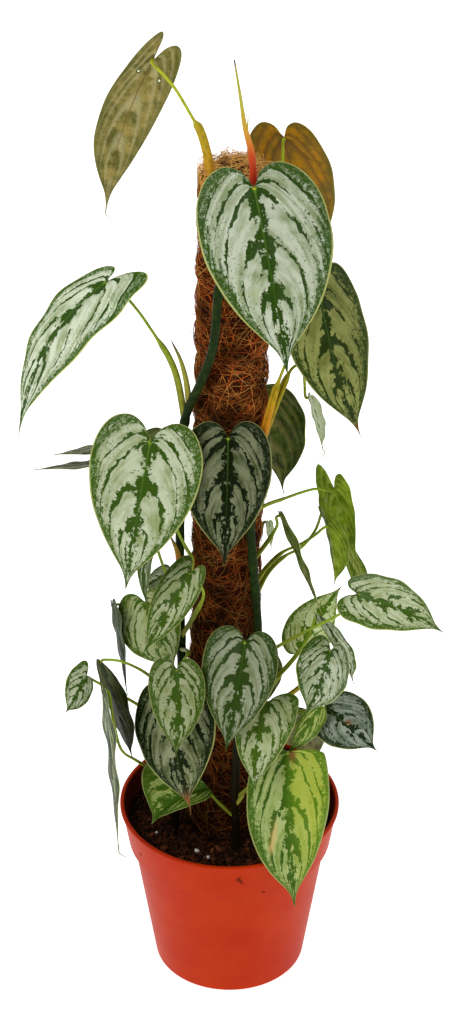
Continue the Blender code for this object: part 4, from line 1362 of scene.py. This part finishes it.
def point_normals(points, faces):
    """The upward directions of a sheet at its points."""
    normals = [Vector((0, 0, 0)) for _ in points]
    for face in faces:
        a, b, c = (points[corner] for corner in face[:3])
        facing = (b - a).cross(c - a)
        for corner in face:
            normals[corner] += facing
    return [normal.normalized() for normal in normals]


def blade(leaf, seed, plans):
    """One blade: a thin sheet with sunk veins, its two faces finished differently."""
    spans = SMALL_SPANS if leaf.run.length < SMALL_BLADE else SPANS
    places, faces = plans[spans]
    light, warm, cover = TONES.get(leaf.name, PLAIN_TONE)
    size = min(1.0, leaf.run.length / 90)
    fineness = min(2.0, 115 / leaf.run.length)
    sheet = [leaf.point(side, along) for side, along, _ in places]
    upper = []
    lower = []
    veins = []
    tones = []
    tones_below = []
    marks = []
    for (side, along, rim), middle, normal in zip(places, sheet, point_normals(sheet, faces)):
        vein = vein_at(side, along)
        off_vein = abs((vein / VEIN_SPACING + 0.5) % 1.0 - 0.5) * VEIN_SPACING
        fade = min(1.0, abs(side) / 0.12) * (1 - rim ** 8)
        sunk = VEIN_DEPTH * size * math.exp(-(off_vein / 0.035) ** 2) * fade
        sunk += MIDRIB_DEPTH * size * math.exp(-(side / 0.035) ** 2) * max(0.0, 1 - along)
        ripple = noise.noise(Vector((side * 3, along * 5, seed * 3.7))) * 0.8 * size * fade
        half = BLADE_THICKNESS / 2 * (1 - 0.55 * rim ** 6)
        ridge = 0.35 * size * math.exp(-(side / 0.03) ** 2) * max(0.0, 1 - along)
        upper.append(middle + normal * (half - sunk + ripple))
        lower.append(middle - normal * (half + sunk * 0.9 + ridge - ripple))
        veins.append((vein, seed * 1.37, fineness))
        ripe = ripeness(leaf, warm, side, along, rim)
        tones.append((light, ripe * (BRONZE_ABOVE if leaf.look == "bronze" else 1.0), cover))
        tones_below.append((light, ripe, cover))
        marks.append(marks_at(leaf, side, along))
    count = len(sheet)
    points = upper + lower
    shell = list(faces)
    shell += [tuple(corner + count for corner in reversed(face)) for face in faces]
    shell += [(b, a, a + count, b + count) for a, b in rim_edges(faces)]
    finish_of_face = [0] * len(faces) + [1] * len(faces) + [0] * (len(shell) - 2 * len(faces))
    fields = {
        "plan": places * 2,
        "veins": veins * 2,
        "tone": tones + tones_below,
        "marks": marks * 2,
    }
    if leaf.name in TAILS:
        passed, radius, dry = TAILS[leaf.name]
        thread = Growth()
        course = fine_course([leaf.point(0, TAIL_START), leaf.tip, *passed], TAIL_STEP)
        thread.tube(course, lambda s: radius * (1 - 0.8 * s), TAIL_SIDES, 0, 0)
        shell += [tuple(corner + len(points) for corner in face) for face in thread.faces]
        finish_of_face += [0] * len(thread.faces)
        points += thread.points
        at_tip = {"plan": (0, 1, 0.5), "veins": (1, 0, 0), "tone": (light, warm, 0), "marks": dry}
        for field, value in at_tip.items():
            fields[field] = fields[field] + [value] * len(thread.points)
    kind = AGED_AND_SHADED.get(leaf.name, leaf.look)
    finishes = [uppers[kind], lowers[kind]]
    return shape(f"blade_{leaf.name}", points, shell, finishes, fields, finish_of_face)


def with_marks(finish, tone):
    brown, peach, pale = finish.parts(finish.attribute("marks"))
    tone = finish.mixed(tone, paint(208, 178, 104), peach)
    tone = finish.mixed(tone, paint(196, 204, 150), pale)
    return finish.mixed(tone, paint(134, 82, 40), brown)


def upper_finish(name, silver, shaded, dark, fresh, shine):
    """The silver upper face: bright cells between jagged dark veins."""
    made = Finish(name, UPPER_ROUGHNESS, Specular_IOR_Level=shine)
    side, along, rim = made.parts(made.attribute("plan"))
    vein, seed, small = made.parts(made.attribute("veins"))
    light, warm, cover = made.parts(made.attribute("tone"))
    across = abs(side)
    half = side.maths("SIGN")
    where = made.place()
    jag = made.speckle(where, 340.0, 4.0, 0.72)
    bend = made.speckle(where, 85.0, 2.0)
    fine = made.speckle(where, 560.0, 3.0, 0.65)
    dusting = made.speckle(where, 1500.0, 2.0)
    cloud = made.speckle(where, 95.0, 3.0)
    streak = made.speckle(made.joined(vein * 13, rim * 1.6 + half * 5, seed), 1.0, 3.0, 0.6)
    spur = made.speckle(made.joined(vein * 16, rim * 5 + half * 5, seed + 3), 1.0, 2.0)
    broken = made.speckle(made.joined(vein * 2.4, rim * 4.5 + half * 3, seed + 7), 1.0, 2.0)

    straight = vein.folded(VEIN_SPACING / 2)
    bent = vein + ((jag - 0.5) * 0.12 + (bend - 0.5) * 0.13) * small
    off_vein = bent.folded(VEIN_SPACING / 2)
    fork = (1 - straight / 0.06).clamped() * (1 - along).clamped()
    zone = 0.045 + (1 - along) * 0.05 + fork * 0.14 + cover
    zone = zone + (jag - 0.5) * 0.5 + (spur - 0.5) * 0.55
    midrib = (zone - across).above(0.0, 0.025)
    breadth = 0.026 - rim * 0.008 + cover * 0.4
    breadth = breadth + (broken - 0.5) * 0.15 + (jag - 0.5) * 0.09 * small
    laterals = (breadth - off_vein).above(0.0, 0.008)
    lobe = (0.12 - along).clamped() * 0.5
    inward = rim + lobe + (jag - 0.5) * 0.5 + (spur - 0.5) * 0.3 + (cover - along * 0.04)
    margin = (inward - 0.84).above(0.0, 0.05)
    mottled = margin * (1 - fine.above(0.55, 0.05) * 0.9)
    flecks = fine.above(0.65 - rim * 0.05, 0.03) * rim.above(0.45, 0.4) * 0.8
    drip = along.above(0.93, 0.05)
    shade = midrib.most(laterals).most(mottled).most(flecks).most(drip)

    # Painted shade: the silver is mixed with its shaded tone in streaks along the quilted ridges
    # and in random clouds.
    painted_ridge_shade = (streak - 0.5) * 1.6 + (cloud - 0.5)
    cells = made.mixed(silver, shaded, (painted_ridge_shade + 0.42 - dusting * 0.25).above(0.35, 0.45))
    cells = made.mixed(cells, fresh, (margin * 0.3 + rim.above(0.8, 0.4) * 0.15).clamped())
    green_part = made.mixed(dark, fresh, dusting.above(0.55, 0.25) * 0.35 + mottled * 0.25)
    limey = made.mixed(paint(104, 144, 10), paint(184, 198, 62), 1 - shade)
    tone = made.mixed(cells, green_part, shade)
    tone = made.mixed(tone, limey, warm)
    joint = (1 - (across * 0.6 + abs(along)) / 0.04).clamped()
    tone = made.mixed(tone, paint(104, 150, 40), joint)
    line = (0.014 - across).above(0.0, 0.008) * (0.7 - along).clamped()
    tone = made.mixed(tone, paint(92, 128, 50), line * 0.8)
    tone = made.mixed(tone, paint(186, 190, 112), rim.above(0.975, 0.012) * 0.85)
    tone = made.mixed(tone, paint(132, 142, 62), along.above(0.975, 0.02) * 0.7)
    # Painted light and shade: the colour is scaled by the blade's light.
    tone = made.scaled(tone, light)
    tone = with_marks(made, tone)
    made.paints(
        colour=tone,
        roughness=UPPER_ROUGHNESS + shade * -0.06 + dusting * 0.08,
        height=(straight / 0.03).clamped() * 0.6 + streak * 0.6 + dusting * 0.12,
        relief=0.0006,
        strength=0.4,
    )
    return made


def lower_finish(name, plain, deep, vein_tone, rib_tone, ripe, shine, drops=()):
    """The underside: no silver, soft blotches and a few broad raised veins; drops are of sap."""
    made = Finish(name, LOWER_ROUGHNESS, Specular_IOR_Level=shine)
    side, along, rim = made.parts(made.attribute("plan"))
    vein, seed, _ = made.parts(made.attribute("veins"))
    light, warm, _ = made.parts(made.attribute("tone"))
    across = abs(side)
    where = made.place()
    cloud = made.speckle(where, 110.0, 4.0, 0.6)
    jag = made.speckle(where, 300.0, 3.0, 0.65)
    fine = made.speckle(where, 600.0, 3.0)
    streak = made.speckle(made.joined(vein * 10, rim * 2, seed), 1.0, 3.0, 0.6)
    bent = vein + (jag - 0.5) * 0.07 + (cloud - 0.5) * 0.16
    off_vein = bent.folded(VEIN_SPACING / 2)
    soft = (0.05 - off_vein).above(0.0, 0.075) * (1 - rim * 0.55)
    patchy = ((cloud - 0.5) * 1.7 + (streak - 0.5) * 0.5 + (jag - 0.5) * 0.7 + 0.5).above(0.5, 0.5)
    tone = made.mixed(plain, deep, patchy)
    tone = made.mixed(tone, made.mixed(ripe, deep, patchy * 0.7), warm)
    vein_tone = made.mixed(vein_tone, paint(86, 48, 10), warm)
    tone = made.mixed(tone, vein_tone, soft * (0.55 + warm * 0.3))
    tone = made.mixed(tone, deep, fine.above(0.6, 0.1) * 0.3)
    rib = (0.022 - across).above(0.0, 0.018) * (1.05 - along).clamped()
    tone = made.mixed(tone, rib_tone, rib * 0.8)
    tone = made.mixed(tone, deep, rim.above(0.85, 0.25) * 0.55)
    tone = made.mixed(tone, paint(150, 150, 70), rim.above(0.98, 0.012) * 0.4)
    # Painted light and shade: the colour is scaled by the blade's light.
    tone = made.scaled(tone, light)
    for spot in drops:
        away = made.distance(where, spot)
        tone = made.mixed(tone, paint(70, 64, 30), (0.0017 - away).above(0.0, 0.0006))
        tone = made.mixed(tone, paint(226, 234, 190), (0.0009 - away).above(0.0, 0.0004))
    tone = with_marks(made, tone)
    made.paints(
        colour=tone,
        height=soft + rib + streak * 0.5 + fine * 0.1,
        relief=0.0007,
        strength=0.5,
    )
    return made


# Each kind of upper face: its silver, the silver's painted shade along the quilted ridges, the
# dark between, its fresh edge and its shine. The dark kind is a darker copy of the silver one:
# painted shade for blades that lie in the shade of others; the slate kind is a bluer copy of it.
UPPER_FACES = {
    "silver": ((190, 198, 174), (134, 148, 106), (34, 60, 4), (70, 106, 22), 0.12),
    "dark": ((142, 148, 112), (78, 86, 48), (14, 26, 2), (38, 58, 14), 0.06),
    "slate": ((158, 168, 152), (96, 112, 90), (22, 38, 14), (52, 74, 34), 0.06),
    "lime": ((178, 194, 128), (116, 144, 60), (36, 76, 4), (90, 132, 16), 0.12),
    "olive": ((164, 170, 96), (116, 124, 56), (30, 48, 4), (72, 94, 14), 0.12),
    "bronze": ((160, 168, 120), (120, 132, 76), (44, 60, 14), (84, 100, 34), 0.12),
}
# Each kind of underside: its plain tone, its blotches, its veins, its midrib, what it turns to
# with age, and its shine.
LOWER_FACES = {
    "silver": ((112, 130, 56), (66, 84, 20), (156, 168, 96), (150, 160, 80), (150, 150, 44), 0.12),
    # The dark underside is a darker copy as well: painted shade.
    "dark": ((84, 108, 42), (34, 52, 10), (150, 146, 84), (112, 96, 50), (112, 80, 30), 0.05),
    "lime": ((132, 154, 36), (80, 104, 10), (164, 178, 76), (156, 166, 72), (158, 168, 40), 0.12),
    "bronze": ((146, 136, 74), (84, 86, 30), (190, 182, 134), (112, 74, 38), (178, 124, 10), 0.12),
}
# The two drops of dried sap by the joint of the bronze leaf on the left, in metres.
SAP_DROPS = {"bronze": ((-0.0589, -0.0198, 0.7479), (-0.0456, -0.0234, 0.7424))}

uppers = {}
for kind, (*tones, shine) in UPPER_FACES.items():
    colours = [paint(*tone) for tone in tones]
    uppers[kind] = upper_finish(f"leaf_{kind}", *colours, shine)
lowers = {}
for kind, (*tones, shine) in LOWER_FACES.items():
    colours = [paint(*tone) for tone in tones]
    lowers[kind] = lower_finish(f"leaf_{kind}_under", *colours, shine, SAP_DROPS.get(kind, ()))
lowers["olive"] = lowers["silver"]
lowers["slate"] = lowers["dark"]

# Blades whose face is of another kind than their look: the olive one has aged away from the
# rest of its kind; the slate and dark ones are painted in shade.
AGED_AND_SHADED = {"upper_right": "olive", "low_right_dark": "slate", "left_trailing": "dark"}

plans = {spans: blade_plan(spans) for spans in (SPANS, SMALL_SPANS)}
for seed, leaf in enumerate(LEAVES):
    piece = blade(leaf, seed, plans)
    stands_for(piece, f"leaf_{leaf.name}")


# The studio: a white sweep of paper under and behind the pot, one broad soft light high on the
# left, a weaker one on the right, and pale light from all round.
FLOOR_SIZE = 9.0
FLOOR_LEVEL = -0.1
LIT_SPOT = (0, 0, 0.4)

paper = Finish("white_paper", 0.8, Specular_IOR_Level=0.1, Emission_Strength=0.75)
tooth = paper.speckle(paper.place(), 60.0, 2.0)
paper.paints(colour=paper.mixed(paint(244, 244, 244), paint(250, 250, 250), tooth))
edge = FLOOR_SIZE / 2 / MM
corners = [(-edge, -edge), (edge, -edge), (edge, edge), (-edge, edge)]
points = [(x, y, FLOOR_LEVEL) for x, y in corners]
floor = shape("studio_floor", points, [(0, 1, 2, 3)], [paper])


def soft_light(name, place, size, power):
    lamp = bpy.data.lights.new(name, "AREA")
    lamp.size = size
    lamp.energy = power
    holder = bpy.data.objects.new(name, lamp)
    holder.location = place
    aim = Vector(LIT_SPOT) - Vector(place)
    holder.rotation_euler = aim.to_track_quat("-Z", "Y").to_euler()
    bpy.context.scene.collection.objects.link(holder)


soft_light("window_left", (-1.5, -1.5, 2.3), 1.3, 30)
soft_light("window_right", (1.8, -0.7, 1.5), 1.2, 12)
soft_light("from_behind", (0.3, 1.8, 1.8), 1.6, 20)
sky = bpy.data.worlds.new("pale_room")
sky.use_nodes = True
sky.node_tree.nodes["Background"].inputs["Color"].default_value = (1.0, 1.0, 1.0, 1.0)
sky.node_tree.nodes["Background"].inputs["Strength"].default_value = 0.32
bpy.context.scene.world = sky
bpy.context.scene.view_settings.view_transform = "Standard"

CAMERA_PLACE = (-0.0008, -1.55, 1.335)
CAMERA_TILT = 59.0
CAMERA_LENS = 87.89

lens = bpy.data.cameras.new("camera")
lens.lens = CAMERA_LENS
lens.sensor_width = 36.0
camera = bpy.data.objects.new("camera", lens)
camera.location = CAMERA_PLACE
camera.rotation_euler = (math.radians(CAMERA_TILT), 0, 0)
bpy.context.scene.collection.objects.link(camera)
bpy.context.scene.camera = camera
